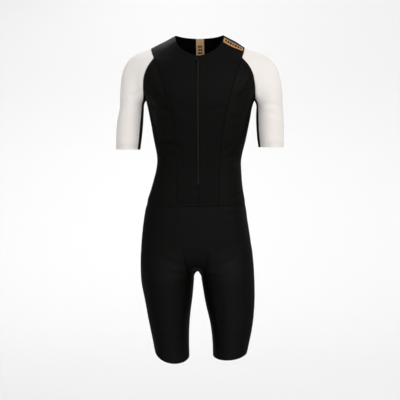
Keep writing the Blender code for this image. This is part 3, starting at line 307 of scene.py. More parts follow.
class StageSettings(PropertyGroup):
    distance: length("Distance", "From the camera to the middle of the suit", 2.2)
    height: number("Height", "Camera height", -0.296, unit="LENGTH")
    aside: length("Aside", "The camera's shift to the side", 0.002)
    azimuth: number("Azimuth", "Camera turned round the suit", np.radians(2.0), subtype="ANGLE")
    tilt: number("Tilt", "Camera tilted down", np.radians(3.82), subtype="ANGLE")
    lens: number("Lens", "Focal length in millimetres", 67.4)
    floor: number("Floor", "Height of the floor", -1.40, unit="LENGTH")
    sweep_start: length("Sweep start", "Where the floor starts to curve up behind the suit", 1.6)
    sweep: length("Sweep", "Radius of the curve between the floor and the wall", 1.6)
    pale: colour("Pale", "Floor and wall", (0.79, 0.79, 0.79))
    paper: number("Paper", "Brightness of the paper round the stage", 0.97)
    soft_from: FloatVectorProperty(
        name="Soft light from", description="Where the soft light is strongest", default=(0.16, -0.90, 0.36)
    )
    front: number("Front", "Strength of the soft light in front", 1.74)
    back: number("Back", "Strength of the soft light behind", 0.14)
    key: number("Key", "Watts of the light at the right", 15.0)
    rear: number("Rear", "Watts of the high light behind", 34.0)
    rim: number("Rim", "Watts of the light behind the right side", 1.2)


# --- Meshes ---
def new_object(name, data):
    piece = bpy.data.objects.new(name, data)
    bpy.context.scene.collection.objects.link(piece)
    return piece


def to_mesh(name, body):
    mesh = bpy.data.meshes.new(name)
    body.to_mesh(mesh)
    body.free()
    return mesh


def evaluated_mesh(piece):
    """The mesh of an object with its modifiers applied; the object itself is removed."""
    graph = bpy.context.evaluated_depsgraph_get()
    mesh = bpy.data.meshes.new_from_object(piece.evaluated_get(graph), depsgraph=graph)
    mesh.name = piece.name
    bpy.data.objects.remove(piece, do_unlink=True)
    return mesh


def finished(name, mesh, material, slot, *nodes):
    """Makes a piece with its material and body, in place of the solids that it stands for; its slot is not
    used.
    """
    mesh.materials.clear()
    mesh.materials.append(material)
    mesh.polygons.foreach_set("material_index", [0] * len(mesh.polygons))
    mesh.shade_smooth()
    mesh.set_sharp_from_angle(angle=SHARP)
    made = new_object(name, mesh)
    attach(made, SUIT_BODY)
    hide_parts(*nodes)
    return made


def from_middle(point, bones):
    """The way to a point from the nearest of some bones."""
    ways = []
    for bone in bones:
        top, run = Vector(bone.top), Vector(bone.bottom) - Vector(bone.top)
        at = min(max((point - top).dot(run) / run.length_squared, 0), 1)
        ways.append(point - top - run * at)
    return min(ways, key=lambda way: way.length)


def unwrap(piece):
    """Unfolds a piece along its marked seams into its UV map."""
    bpy.context.view_layer.objects.active = piece
    bpy.ops.object.mode_set(mode="EDIT")
    bpy.ops.mesh.select_all(action="SELECT")
    bpy.ops.uv.unwrap(method="ANGLE_BASED")
    bpy.ops.object.mode_set(mode="OBJECT")


def smooth(piece, levels):
    modifier = piece.modifiers.new("Smooth", "SUBSURF")
    modifier.levels = modifier.render_levels = levels
    modifier.boundary_smooth = "PRESERVE_CORNERS"


def panels_at(part):
    """The panels that meet at an edge or a point of the skin."""
    return {face.material_index for face in part.link_faces}


def islands(body):
    """The faces of a bmesh, in groups that hang together without a sharp bend."""
    left = set(body.faces)
    while left:
        group, front = [], [left.pop()]
        while front:
            face = front.pop()
            group.append(face)
            for edge in face.edges:
                if edge.calc_face_angle(np.pi) > BEND:
                    continue
                for other in edge.link_faces:
                    if other in left:
                        left.remove(other)
                        front.append(other)
        yield group


def outer_face(node):
    """The outer face of a wall of cloth, from a copy of its solid, in quads where it can be."""
    body = bmesh.new()
    body.from_mesh(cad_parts[node].data)
    bmesh.ops.remove_doubles(body, verts=body.verts, dist=MERGE)
    tree = BVHTree.FromBMesh(body)

    def backed(face):
        start = face.calc_center_median() - face.normal * MERGE
        _, normal, _, _ = tree.ray_cast(start, -face.normal, WALL_REACH)
        return normal is not None and normal.dot(face.normal) < WALL_FACING

    rim = [face for face in body.faces if not backed(face)]
    bmesh.ops.delete(body, geom=rim, context="FACES")
    bones = ARMS if "sleeve" in node else TRUNK + LEGS if node in SHORTS else TRUNK
    inner = []
    for group in islands(body):
        facing = sum(f.calc_area() * f.normal.dot(from_middle(f.calc_center_median(), bones)) for f in group)
        if facing < 0:
            inner += group
    bmesh.ops.delete(body, geom=inner, context="FACES")
    if not body.faces:
        raise RuntimeError(f"{node} has no outer face")
    bmesh.ops.join_triangles(
        body, faces=body.faces, angle_face_threshold=np.pi, angle_shape_threshold=np.pi
    )
    return body


def sewn_skin(levels):
    """All the cloth as one smooth skin; a face's material index says which panel it is in."""
    body = bmesh.new()
    for index, node in enumerate(PANELS):
        part = outer_face(node)
        for face in part.faces:
            face.material_index = index
        mesh = to_mesh("part", part)
        body.from_mesh(mesh)
        bpy.data.meshes.remove(mesh)
    for beside_slot, reach in ((True, SLOT_REACH), (False, SEAM_REACH)):
        sewn = [v for v in body.verts if v.is_boundary and (abs(v.co.x) < SLOT_SIDE) == beside_slot]
        bmesh.ops.remove_doubles(body, verts=sewn, dist=reach)
    crowded = [edge.link_faces for edge in body.edges if len(edge.link_faces) > 2]
    extra = {min(faces, key=lambda face: face.calc_area()) for faces in crowded}
    bmesh.ops.delete(body, geom=list(extra), context="FACES")
    rest = [edge for edge in body.edges if edge.is_boundary]
    for face in bmesh.ops.holes_fill(body, edges=rest, sides=HOLE_SIDES)["faces"]:
        neighbours = [other for edge in face.edges for other in edge.link_faces if other is not face]
        face.material_index = neighbours[0].material_index
    crease = body.edges.layers.float.new("crease_edge")
    for edge in body.edges:
        if len(panels_at(edge)) > 1:
            edge.seam = True
            edge[crease] = 1.0
    for _ in range(SEAM_ROUNDS):
        eased = {}
        for vert in body.verts:
            ends = [edge.other_vert(vert).co for edge in vert.link_edges if edge.seam]
            if len(ends) == 2:
                eased[vert] = vert.co * 0.5 + (ends[0] + ends[1]) * 0.25
        for vert, place in eased.items():
            vert.co = place
    piece = new_object("skin", to_mesh("skin", body))
    unwrap(piece)
    smooth(piece, levels)
    return evaluated_mesh(piece)


def vertex_arrays(mesh):
    points = np.zeros(len(mesh.vertices) * 3)
    mesh.vertices.foreach_get("co", points)
    normals = np.zeros(len(mesh.vertices) * 3)
    mesh.vertices.foreach_get("normal", normals)
    return points.reshape(-1, 3), normals.reshape(-1, 3)


def noise_at(points, size, offset):
    place = Vector((offset, 2 * offset, -offset))
    return np.array([noise.noise(Vector(point) / size + place) for point in points])


def crease_height(points, normals):
    """How far the creases move the cloth along its normals: soft uneven troughs and ridges."""
    height = np.zeros(len(points))
    wander = noise_at(points, WANDER_SIZE, 3.0)
    for number, crease in enumerate(CREASES):
        start, end = np.array([crease.x0, crease.z0]), np.array([crease.x1, crease.z1])
        run = end - start
        reach = np.linalg.norm(run)
        along, across = run / reach, np.array([-run[1], run[0]]) / reach
        offset = points[:, [0, 2]] - start
        at = offset @ along / reach
        bowed = crease.bow * 4 * np.clip(at, 0, 1) * (1 - np.clip(at, 0, 1))
        away = (offset @ across - bowed + WANDER * wander * np.sin(number + 1)) / crease.width
        beyond = np.maximum(np.abs(at - 0.5) - 0.5, 0) * reach / crease.width
        within = (np.abs(away) < 5) & (beyond < 3)  # further off it is too faint to count
        taper = np.exp(-(beyond**2)) * (0.35 + 0.65 * np.sin(np.pi * np.clip(at, 0.02, 0.98)))
        profile = -np.exp(-(away**2))
        for swell in SWELLS:
            profile = profile + swell.height * np.exp(-(((away - swell.at) / swell.spread) ** 2))
        facing = np.clip(crease.face * normals[:, 1] * 1.8, 0, 1)
        height += within * facing * taper * profile * crease.depth * (1 + 0.5 * wander)
    return height


def edge_points(mesh, wanted):
    """Points close together along the edges of a mesh that a test wants."""
    body = bmesh.new()
    body.from_mesh(mesh)
    points = []
    for edge in body.edges:
        if wanted(edge):
            count = max(int(edge.calc_length() / MARK_STEP), 1)
            points += [edge.verts[0].co.lerp(edge.verts[1].co, k / count) for k in range(count + 1)]
    body.free()
    return points


def note_distances(mesh):
    """Notes at each point of the skin how far it is from a seam and from an open edge."""
    tests = {
        "to_seam": lambda edge: len(panels_at(edge)) > 1,
        "to_hem": lambda edge: edge.is_boundary and max(abs(v.co.x) for v in edge.verts) > SLOT_SIDE,
    }
    for name, wanted in tests.items():
        marks = edge_points(mesh, wanted)
        tree = KDTree(len(marks))
        for index, mark in enumerate(marks):
            tree.insert(mark, index)
        tree.balance()
        away = [tree.find(vert.co)[2] for vert in mesh.vertices]
        mesh.attributes.new(name, "FLOAT", "POINT").data.foreach_set("value", away)


def press(mesh, settings):
    """Presses creases, slow unevenness and seam grooves into the sewn skin."""
    points, normals = vertex_arrays(mesh)
    height = crease_height(points, normals) * settings.crease
    for number, (size, rise) in enumerate(DRIFT):
        height += noise_at(points, size, 5.0 + number) * rise
    moved = points + normals * height[:, None]
    for nudge in NUDGES:
        share = np.exp(-((np.linalg.norm(points - nudge.place, axis=1) / nudge.reach) ** 2))
        moved += share[:, None] * np.array(nudge.move)
    mesh.vertices.foreach_set("co", moved.ravel())
    sewn = bmesh.new()
    sewn.from_mesh(mesh)
    for vert in sewn.verts:
        if len(panels_at(vert)) > 1:
            vert.co -= vert.normal * settings.groove
    sewn.to_mesh(mesh)
    sewn.free()


def cut_out(mesh, index):
    """One panel of the skin, as a bmesh."""
    body = bmesh.new()
    body.from_mesh(mesh)
    others = [face for face in body.faces if face.material_index != index]
    bmesh.ops.delete(body, geom=others, context="FACES")
    return body


def settle_uv(mesh, upright=True):
    """Scales a piece's UV map to metres, turns it upright or lengthwise, and centres it."""
    layer = mesh.uv_layers.active
    flat = np.zeros(len(mesh.loops) * 2)
    layer.data.foreach_get("uv", flat)
    flat = flat.reshape(-1, 2)
    corner = np.zeros(len(mesh.loops), int)
    mesh.loops.foreach_get("vertex_index", corner)
    points, _ = vertex_arrays(mesh)
    solid_area, flat_area = 0.0, 0.0
    for face in mesh.polygons:
        solid_area += face.area
        u, v = flat[list(face.loop_indices)].T
        flat_area += abs(np.dot(u, np.roll(v, -1)) - np.dot(v, np.roll(u, -1))) / 2
    flat = (flat - flat.mean(0)) * np.sqrt(solid_area / flat_area)
    if upright:
        slope = np.linalg.lstsq(np.c_[flat, np.ones(len(flat))], points[corner][:, 2], rcond=None)[0]
        up = slope[:2] / np.linalg.norm(slope[:2])
    else:
        up = np.linalg.eigh(np.cov(flat.T))[1][:, 1]
        up = up * np.sign(np.dot(flat @ up, points[corner][:, 0]))
    flat = flat @ np.array([[up[1], up[0]], [-up[0], up[1]]])
    layer.data.foreach_set("uv", flat.ravel())
    return flat, solid_area


def thick(name, mesh, wall, levels=0):
    """A sheet as a thin closed wall, whose outer face is the sheet."""
    piece = new_object(name, mesh)
    if levels:
        smooth(piece, levels)
    solid = piece.modifiers.new("Wall", "SOLIDIFY")
    solid.thickness = wall
    solid.offset = -1
    return evaluated_mesh(piece)


def declare_sheet(piece, flat, area):
    """Works out the cut of stretched cloth from the size of its flat map and its area, and gives nothing
    back.
    """
    wide, tall = (float(side) for side in np.ptp(flat, axis=0))
    cut = min(max(area, LEAST_CUT * wide * tall), wide * tall)


# --- Lines on the skin ---
def chains(edges):
    """Edges in chains of vertices, each from end to end or once round."""
    links = {}
    for edge in edges:
        for vert in edge.verts:
            links.setdefault(vert, []).append(edge)
    left = set(edges)
    starts = [vert for vert, joined in links.items() if len(joined) != 2] + list(links)
    for start in starts:
        while any(edge in left for edge in links[start]):
            chain, here = [start], start
            while True:
                following = [edge for edge in links[here] if edge in left]
                if not following or (here is not start and len(links[here]) != 2):
                    break
                edge = following[0]
                left.remove(edge)
                here = edge.other_vert(here)
                chain.append(here)
            yield chain


def walked(points, step):
    """A line walked in equal steps near the one asked for: an array of points."""
    points = np.array([list(point) for point in points])
    run = np.concatenate([[0], np.cumsum(np.linalg.norm(np.diff(points, axis=0), axis=1))])
    count = max(int(round(run[-1] / step)), 2)
    at = np.linspace(0, run[-1], count + 1)
    return np.stack([np.interp(at, run, points[:, k]) for k in range(3)], axis=1)


def on_skin(tree, point, lift):
    """The nearest place on the skin, and how far above it a thread runs."""
    place, normal, _, _ = tree.find_nearest(Vector(point))
    return place + normal * lift, normal


def threads(name, runs, radius):
    """A mesh of thin threads along runs of points."""
    curve = bpy.data.curves.new(name, "CURVE")
    curve.dimensions = "3D"
    curve.bevel_depth = radius
    curve.bevel_resolution = 1
    curve.use_fill_caps = True
    for run in runs:
        spline = curve.splines.new("POLY")
        spline.points.add(len(run) - 1)
        for point, place in zip(spline.points, run):
            point.co = (*place, 1)
    return evaluated_mesh(new_object(name, curve))


def evened(line, rounds=3):
    """A line with its small wobbles taken out; its ends stay."""
    points = np.array([list(point) for point in line])
    for _ in range(rounds):
        points[1:-1] = points[1:-1] * 0.5 + (points[:-2] + points[2:]) * 0.25
    return points


def way_into(point, chain, panels):
    """The way from a line on the skin into some panels, near a point."""
    nearest = min(chain, key=lambda vert: (vert.co - point).length_squared)
    faces = [face for face in nearest.link_faces if face.material_index in panels]
    if not faces:
        return Vector()
    middle = sum((face.calc_center_median() for face in faces), Vector()) / len(faces)
    return middle - nearest.co


def sides(points, tree, inward=None):
    """The way to one side of a line at each of its points, in the skin's own slope there."""
    ways = [
        Vector(tangent).normalized().cross(on_skin(tree, point, 0)[1])
        for point, tangent in zip(points, np.gradient(points, axis=0))
    ]
    turned = inward and sum(way.dot(inward(Vector(point))) for way, point in zip(ways, points)) < 0
    return [-way for way in ways] if turned else ways


def flat_seam(line, tree, settings, aside=None):
    """The zigzag of a flat seam's thread, laid across the seam or beside it on the skin."""
    points = walked(evened(line), settings.cover / 2)
    shift = settings.reach + 2 * settings.thread if aside else 0
    return [
        on_skin(tree, Vector(point) + side * (shift + settings.reach * (-1) ** number), settings.thread)[0]
        for number, (point, side) in enumerate(zip(points, sides(points, tree, aside)))
    ]


def running_stitches(line, tree, settings, over=0.0):
    """Single stitches along a line, so far over the skin: each dips in at both ends."""
    points = walked(line, settings.pitch / 4)
    lifts = [over + settings.thread * lift for lift in STITCH_LIFTS]
    return [
        [on_skin(tree, point, lift)[0] for point, lift in zip(points[i : i + 4], lifts)]
        for i in range(0, len(points) - 4, 5)
    ]


def beside(line, tree, distance, inward):
    """Lines on the skin at a distance from an edge, on the side that inward points to."""
    points = walked(line, ROW_STEP)
    runs = [[]]
    for point, side in zip(points, sides(points, tree, inward)):
        place = on_skin(tree, Vector(point) + side * distance, 0)[0]
        if np.linalg.norm(points - np.array(place), axis=1).min() > distance * ROW_KEPT:
            runs[-1].append(place)
        elif runs[-1]:
            runs.append([])
    return [run for run in runs if len(run) > 2]


# --- Materials ---
class Value:
    """A number flowing through a material's nodes, so that shader maths reads as Python."""

    def __init__(self, recipe, socket):
        self.recipe, self.socket = recipe, socket

    def maths(self, operation, *operands):
        node = self.recipe.node("ShaderNodeMath", {"operation": operation}, *operands)
        return Value(self.recipe, node.outputs[0])

    def __add__(self, other):
        return self.maths("ADD", self, other)

    def __radd__(self, other):
        return self.maths("ADD", other, self)

    def __sub__(self, other):
        return self.maths("SUBTRACT", self, other)

    def __rsub__(self, other):
        return self.maths("SUBTRACT", other, self)

    def __mul__(self, other):
        return self.maths("MULTIPLY", self, other)

    def __rmul__(self, other):
        return self.maths("MULTIPLY", other, self)

    def __lt__(self, other):
        return self.maths("LESS_THAN", self, other)

    def __abs__(self):
        return self.maths("ABSOLUTE", self)

    def cycle(self, period):
        """The distance from the middle of the current period, from -period / 2 to period / 2."""
        return self.maths("FLOORED_MODULO", self, period) - period / 2

    def sine(self):
        return self.maths("SINE", self)


class Recipe:
    """A node material with one Principled shader."""

    def __init__(self, name, **shader):
        self.material = bpy.data.materials.new(name)
        self.material.use_nodes = True
        self.tree = self.material.node_tree
        self.shader = self.tree.nodes["Principled BSDF"]
        self.finish(**shader)

    def set(self, socket, value):
        if isinstance(value, Value):
            self.tree.links.new(value.socket, socket)
        elif socket.type == "RGBA":
            socket.default_value = (*value[:3], 1)
        else:
            socket.default_value = value

    def node(self, kind, settings=None, *values, **named):
        """Adds a node: its settings first, then its sockets in order or by name."""
        node = self.tree.nodes.new(kind)
        for key, value in (settings or {}).items():
            setattr(node, key, value)
        for socket, value in zip(node.inputs, values):
            self.set(socket, value)
        for key, value in named.items():
            self.set(node.inputs[key.replace("_", " ")], value)
        return node

    def uv(self):
        """The piece's own UV map in metres: across, along and both."""
        place = Value(self, self.node("ShaderNodeTexCoord").outputs["UV"])
        parts = self.node("ShaderNodeSeparateXYZ", None, place)
        return Value(self, parts.outputs["X"]), Value(self, parts.outputs["Y"]), place

    def attribute(self, name):
        """A number noted on the piece's points."""
        made = self.node("ShaderNodeAttribute", {"attribute_name": name})
        return Value(self, made.outputs["Fac"])

    def object_place(self):
        return Value(self, self.node("ShaderNodeTexCoord").outputs["Object"])

    def noise(self, place, scale, detail=3.0):
        made = self.node("ShaderNodeTexNoise", None, Vector=place, Scale=scale, Detail=detail)
        return Value(self, made.outputs["Fac"])

    def mix(self, factor, first, second):
        """A mix of two colours, whose sockets come after those for numbers and vectors."""
        node = self.node("ShaderNodeMix", {"data_type": "RGBA"}, factor)
        self.set(node.inputs[6], first)
        self.set(node.inputs[7], second)
        return Value(self, node.outputs[2])

    def bump(self, height, distance):
        made = self.node("ShaderNodeBump", None, Height=height, Distance=distance)
        self.set(self.shader.inputs["Normal"], Value(self, made.outputs["Normal"]))

    def finish(self, **sockets):
        for key, value in sockets.items():
            self.set(self.shader.inputs[key.replace("_", " ")], value)
        return self.material


class Sky(Recipe):
    """The nodes of the world."""

    def __init__(self, world):
        self.material, self.tree = world, world.node_tree
        self.shader = self.tree.nodes["Background"]


def shaded(value, share):
    return tuple(channel * share for channel in value)


def near(distance, reach):
    """1 where a distance is 0, falling to 0 at a reach."""
    share = distance * (1 / reach)
    hill = 1 - share * share
    return hill.maths("MAXIMUM", hill, 0.0)


def ribs(way, pitch):
    """Ribs that follow each other along a way, from 0 to 1."""
    return abs(way.cycle(pitch)) * (2 / pitch)


def knit(recipe, gauge):
    """Height of a fine knit: columns of V-shaped loops, from 0 to 1."""
    across, along, _ = recipe.uv()
    wale = ribs(across, gauge)
    tall = gauge * 0.8
    course = (along + wale * (gauge * 0.35)).cycle(tall)
    loop = (course * (2 * np.pi / tall)).sine() * 0.5 + 0.5
    return loop * 0.45 + (1 - wale) * 0.55


def knit_material(kind, ground, stitch):
    """A stretch knit: fine loops, a soft sheen, slow changes of colour, seams and turned hems, with shade
    painted into the seams' joints and the rows of stitches.
    """
    recipe = Recipe(
        kind.name, Sheen_Weight=kind.sheen, Sheen_Roughness=0.30, Sheen_Tint=(0.92, 0.90, 0.86),
        Specular_IOR_Level=kind.shine,
    )
    height = knit(recipe, kind.gauge)
    place = recipe.object_place()
    patch = recipe.noise(place, 9.0)
    fuzz = recipe.noise(place, 900.0, 1.0)
    to_seam, to_hem = recipe.attribute("to_seam"), recipe.attribute("to_hem")
    joint = near(to_seam, JOINT)
    padding = near(to_seam - PADDING[0], PADDING[1])
    rows = near(to_hem - stitch.hem, ROW) + near(to_hem - (stitch.hem + stitch.row_gap), ROW)
    double = near(to_hem - TURNED[0], TURNED[1])
    # The colour is darker along the seams' joints and the rows of stitches: painted shade in their grooves.
    shade = patch * 0.55 + fuzz * 0.25 + height * 0.20 - joint * 0.5 - rows * 0.2
    base = recipe.mix(shade, shaded(ground, 1 - kind.change * 3), shaded(ground, 1 + kind.change * 3))
    relief = padding * 2.2 - joint * 4.0 - rows * 2.0 + double * 2.5
    recipe.bump(height + fuzz * 0.4 + relief, kind.depth)
    return recipe.finish(Base_Color=base, Roughness=patch * 0.12 + (kind.rough - 0.06))


def thread_material(name, ground):
    """Twisted sewing thread."""
    recipe = Recipe(name, Sheen_Weight=0.02, Specular_IOR_Level=0.12)
    twist = recipe.noise(recipe.object_place(), 2500.0, 1.0)
    recipe.bump(twist, 0.0001)
    base = recipe.mix(twist, shaded(ground, 0.7), shaded(ground, 1.25))
    return recipe.finish(Base_Color=base, Roughness=0.5 + twist * 0.15)


def coil_material(settings):
    """Matt nylon of the zip's coil, slightly worn in patches."""
    recipe = Recipe("zip_coil_nylon", Specular_IOR_Level=0.07)
    patch = recipe.noise(recipe.object_place(), 420.0)
    recipe.bump(patch, 0.00004)
    base = recipe.mix(patch, shaded(settings.coil, 0.75), shaded(settings.coil, 1.3))
    return recipe.finish(Base_Color=base, Roughness=0.34 + patch * 0.2)


def zip_tape_material(settings):
    """Dense woven tape beside the coil."""
    recipe = Recipe("zip_woven_tape", Sheen_Weight=0.01, Specular_IOR_Level=0.04)
    _, along, _ = recipe.uv()
    rib = ribs(along, 0.0011)
    recipe.bump(rib, 0.0001)
    base = recipe.mix(rib, shaded(settings.tape, 0.7), shaded(settings.tape, 1.3))
    return recipe.finish(Base_Color=base, Roughness=0.6 + rib * 0.1)


def enamel_material(settings):
    """Black enamel on cast zinc, brighter where it is rubbed."""
    recipe = Recipe("zip_black_enamel", Specular_IOR_Level=0.07, Coat_Weight=0.03)
    rubbed = recipe.noise(recipe.object_place(), 300.0, 4.0)
    edge = Value(recipe, recipe.node("ShaderNodeNewGeometry").outputs["Pointiness"])
    wear = rubbed * 0.5 + edge * 0.5
    recipe.bump(rubbed, 0.00003)
    base = recipe.mix(wear, shaded(settings.enamel, 0.8), shaded(settings.enamel, 1.8))
    return recipe.finish(Base_Color=base, Roughness=0.28 + rubbed * 0.2)


def tape_material(name, tan, mark, bars):
    """Tan woven tape: fine ribs and warp, and small woven bars in the given places."""
    recipe = Recipe(name, Sheen_Weight=0.05, Specular_IOR_Level=0.15)
    across, along, place = recipe.uv()
    rib, warp = ribs(along, 0.0009), ribs(across, 0.0013)
    patch = recipe.noise(place, 120.0)
    ground = recipe.mix(rib * 0.35 + warp * 0.25 + patch * 0.4, shaded(tan, 0.80), shaded(tan, 1.18))
    dark = 0.0
    for bar in bars:
        inside = (abs(across - bar.across) < bar.wide / 2) * (abs(along - bar.along) < bar.tall / 2)
        dark = inside + dark
    base = recipe.mix(dark, ground, mark)
    recipe.bump(rib * 0.5 + warp * 0.3 + dark * 0.6, 0.00012)
    return recipe.finish(Base_Color=base, Roughness=0.62 - dark * 0.12)


# --- Operators ---
skin = {}  # the sewn skin as a bmesh, "body", and its search tree, "tree", kept between operators


class SUIT_OT_sew_panels(Operator):
    """Sew the cloth, press its creases and cut it into thin panels"""

    bl_idname = "suit.sew_panels"
    bl_label = "Cloth panels"

    def execute(self, context):
        settings, stitch = context.scene.suit_cloth, context.scene.suit_stitch
        mesh = sewn_skin(settings.levels)
        note_distances(mesh)
        press(mesh, settings)
        body = bmesh.new()
        body.from_mesh(mesh)
        skin["body"], skin["tree"] = body, BVHTree.FromBMesh(body)
        knits = {}
        for panels, kind in KNITS.items():
            knits.update(dict.fromkeys(panels, knit_material(kind, getattr(settings, kind.ground), stitch)))
        for index, node in enumerate(PANELS):
            panel = to_mesh(node, cut_out(mesh, index))
            flat, area = settle_uv(panel)
            panel = thick(f"{node}_cloth", panel, settings.wall, int(node in FINE_PANELS))
            slot = "white_knit" if node in SLEEVES else "black_knit"
            declare_sheet(finished(f"{node}_cloth", panel, knits[node], slot, node), flat, area)
        return {"FINISHED"}


class SUIT_OT_stitch_seams(Operator):
    """Lay flat seam threads over every seam between two panels"""

    bl_idname = "suit.stitch_seams"
    bl_label = "Seam threads"

    def execute(self, context):
        settings = context.scene.suit_stitch
        groups = {}
        for edge in skin["body"].edges:
            joined = frozenset(panels_at(edge))
            if len(joined) == 2:
                groups.setdefault(joined, []).append(edge)
        runs = []
        for joined, edges in groups.items():
            dark = [index for index in joined if PANELS[index] not in SLEEVES]
            for chain in chains(edges):
                if len(chain) < SHORT_SEAM:
                    continue

                def into_dark(point, chain=chain):
                    return way_into(point, chain, dark)

                aside = into_dark if len(dark) == 1 else None
                runs.append(flat_seam([vert.co for vert in chain], skin["tree"], settings, aside))
        mesh = threads("black_seam_threads", runs, settings.thread)
        finished("black_seam_threads", mesh, thread_material("black_thread", settings.black), "black_knit")
        return {"FINISHED"}


class SUIT_OT_stitch_hems(Operator):
    """Lay two rows of stitches inside the neckline, the cuffs, the leg hems and the zip's edges"""

    bl_idname = "suit.stitch_hems"
    bl_label = "Hem stitches"

    def execute(self, context):
        settings = context.scene.suit_stitch
        tree = skin["tree"]
        groups = {"black": [], "white": []}
        for edge in skin["body"].edges:
            if edge.is_boundary:
                panel = PANELS[edge.link_faces[0].material_index]
                groups["white" if panel in SLEEVES else "black"].append(edge)
        materials = {
            "black": bpy.data.materials["black_thread"],
            "white": thread_material("white_thread", settings.white),
        }
        for name, edges in groups.items():
            stitches = []
            for chain in chains(edges):

                def inward(point, chain=chain):
                    return way_into(point, chain, range(len(PANELS)))

                line = [vert.co for vert in chain]
                for row in (0, 1):
                    for side in beside(line, tree, settings.hem + row * settings.row_gap, inward):
                        stitches += running_stitches(side, tree, settings)
            mesh = threads(f"{name}_hem_stitches", stitches, settings.thread)
            finished(f"{name}_hem_stitches", mesh, materials[name], f"{name}_knit")
        return {"FINISHED"}


class SUIT_OT_fit_zip(Operator):
    """Make the zip's woven tapes and its coil, from the waist to the neckline"""

    bl_idname = "suit.fit_zip"
    bl_label = "Zip"

    def execute(self, context):
        settings = context.scene.suit_zip
        low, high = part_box("zip_chain")
        edge = zip_edge(high.z)
        tapes = zip_tapes(settings, low.z - settings.below, high.z - ZIP_TOP, edge)
        finished("zip_tapes", tapes, zip_tape_material(settings), "zip_teeth", "zip_chain")
        coil = zip_coil(settings, low.z + settings.stop, high.z - COIL_ENDS[1], edge)
        finished("zip_coil", coil, coil_material(settings), "zip_teeth")
        enamel = enamel_material(settings)
        for node in ("zip_slider", "zip_pull"):
            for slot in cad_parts[node].material_slots:
                slot.material = enamel
        return {"FINISHED"}


def zip_edge(top):
    """The cloth's face beside the zip, from the bottom up: its heights and its depths."""
    rim = [vert.co for vert in skin["body"].verts if vert.is_boundary and vert.co.y < 0]
    edge = [place for place in rim if abs(place.x) < ZIP_EDGE and place.z < top + ZIP_OVER]
    edge.sort(key=lambda place: place.z)
    return [place.z for place in edge], [place.y for place in edge]


def zip_tapes(settings, bottom, top, edge):
    """The two woven tapes as one strip behind the fronts, with its own flat map."""
    body = bmesh.new()
    bmesh.ops.create_grid(body, x_segments=6, y_segments=ZIP_ROWS, size=0.5)
    for vert in body.verts:
        across, height = vert.co.x * 2 * settings.half_width, bottom + (top - bottom) * (vert.co.y + 0.5)
        vert.co = (across, np.interp(height, *edge) + settings.depth + ZIP_BOW * across**2, height)
    uv = body.loops.layers.uv.verify()
    for face in body.faces:
        for loop in face.loops:
            loop[uv].uv = (loop.vert.co.x, loop.vert.co.z)
        if face.normal.y > 0:
            face.normal_flip()
    return thick("zip_tapes", to_mesh("zip_tapes", body), ZIP_WEB)


def zip_coil(settings, bottom, top, edge):
    """The coil's turns, each slanted to the other side than the last, and the stop below them."""
    body = bmesh.new()

    def place(side, height):
        across = side * settings.reach * TURN_SIDE
        return Matrix.Translation((across, np.interp(height, *edge) + settings.sunk, height))

    for number in range(int((top - bottom) / settings.pitch)):
        height = bottom + COIL_ENDS[0] + number * settings.pitch
        side = 1 if number % 2 else -1
        below, above = np.interp((height - TURN_SPAN, height + TURN_SPAN), *edge)
        lean = Matrix.Rotation(-np.arctan2(above - below, 2 * TURN_SPAN), 4, "X")
        slant = Matrix.Rotation(side * TURN_SLANT + np.pi / 2, 4, "Y")
        bmesh.ops.create_cone(
            body, cap_ends=True, segments=6, radius1=settings.turn, radius2=settings.turn,
            depth=settings.reach * TURN_LENGTH, matrix=place(side, height) @ lean @ slant,
        )
    shape = place(0, bottom) @ Matrix.Diagonal((*STOP_BLOCK, 1))
    stop = bmesh.ops.create_cube(body, size=1.0, matrix=shape)["verts"]
    bmesh.ops.bevel(
        body, geom=list({edge for vert in stop for edge in vert.link_edges}), offset=STOP_EDGE,
        offset_type="OFFSET", segments=2, profile=0.5, affect="EDGES", material=-1,
    )
    return to_mesh("zip_coil", body)


class SUIT_OT_lay_tapes(Operator):
    """Lay the tan tape inside the back neck and the one along the left shoulder"""

    bl_idname = "suit.lay_tapes"
    bl_label = "Tapes"

    def execute(self, context):
        settings, stitch = context.scene.suit_tape, context.scene.suit_stitch
        over, under = settings.lift + settings.wall, -context.scene.suit_cloth.wall - settings.lift
        for node, mesh, lift, ground, bars in (
            ("neck_tape", neck_strip(), under, settings.sand, NECK_BARS),
            ("shoulder_tape", shoulder_strip(), over, settings.tan, SHOULDER_BARS),
        ):
            for vert in mesh.vertices:
                vert.co = on_skin(skin["tree"], vert.co, lift)[0]
            flat, area = settle_uv(mesh, node == "neck_tape")
            mesh = thick(f"{node}_woven", mesh, settings.wall)
            weave = tape_material(f"{node}_weave", ground, settings.mark, bars)
            declare_sheet(finished(f"{node}_woven", mesh, weave, "tan_tape", node), flat, area)
        stitches = []
        for share in (TAPE_MARGIN, 1 - TAPE_MARGIN):
            edges = zip(SHOULDER_TAPE_LOW, SHOULDER_TAPE_TOP)
            line = [Vector(low).lerp(Vector(top), share) for low, top in edges]
            row = [on_skin(skin["tree"], point, over)[0] for point in walked(line, 0.004)]
            stitches += running_stitches(row, skin["tree"], stitch, over)
        mesh = threads("tape_stitches", stitches, stitch.thread)
        finished("tape_stitches", mesh, thread_material("tan_thread", shaded(settings.tan, 0.8)), "tan_tape")
        return {"FINISHED"}


def neck_strip():
    """The tape inside the back neck, on the form of its solid."""
    piece = new_object("neck_tape", to_mesh("neck_tape", outer_face("neck_tape")))
    unwrap(piece)
    smooth(piece, 3)
    return evaluated_mesh(piece)


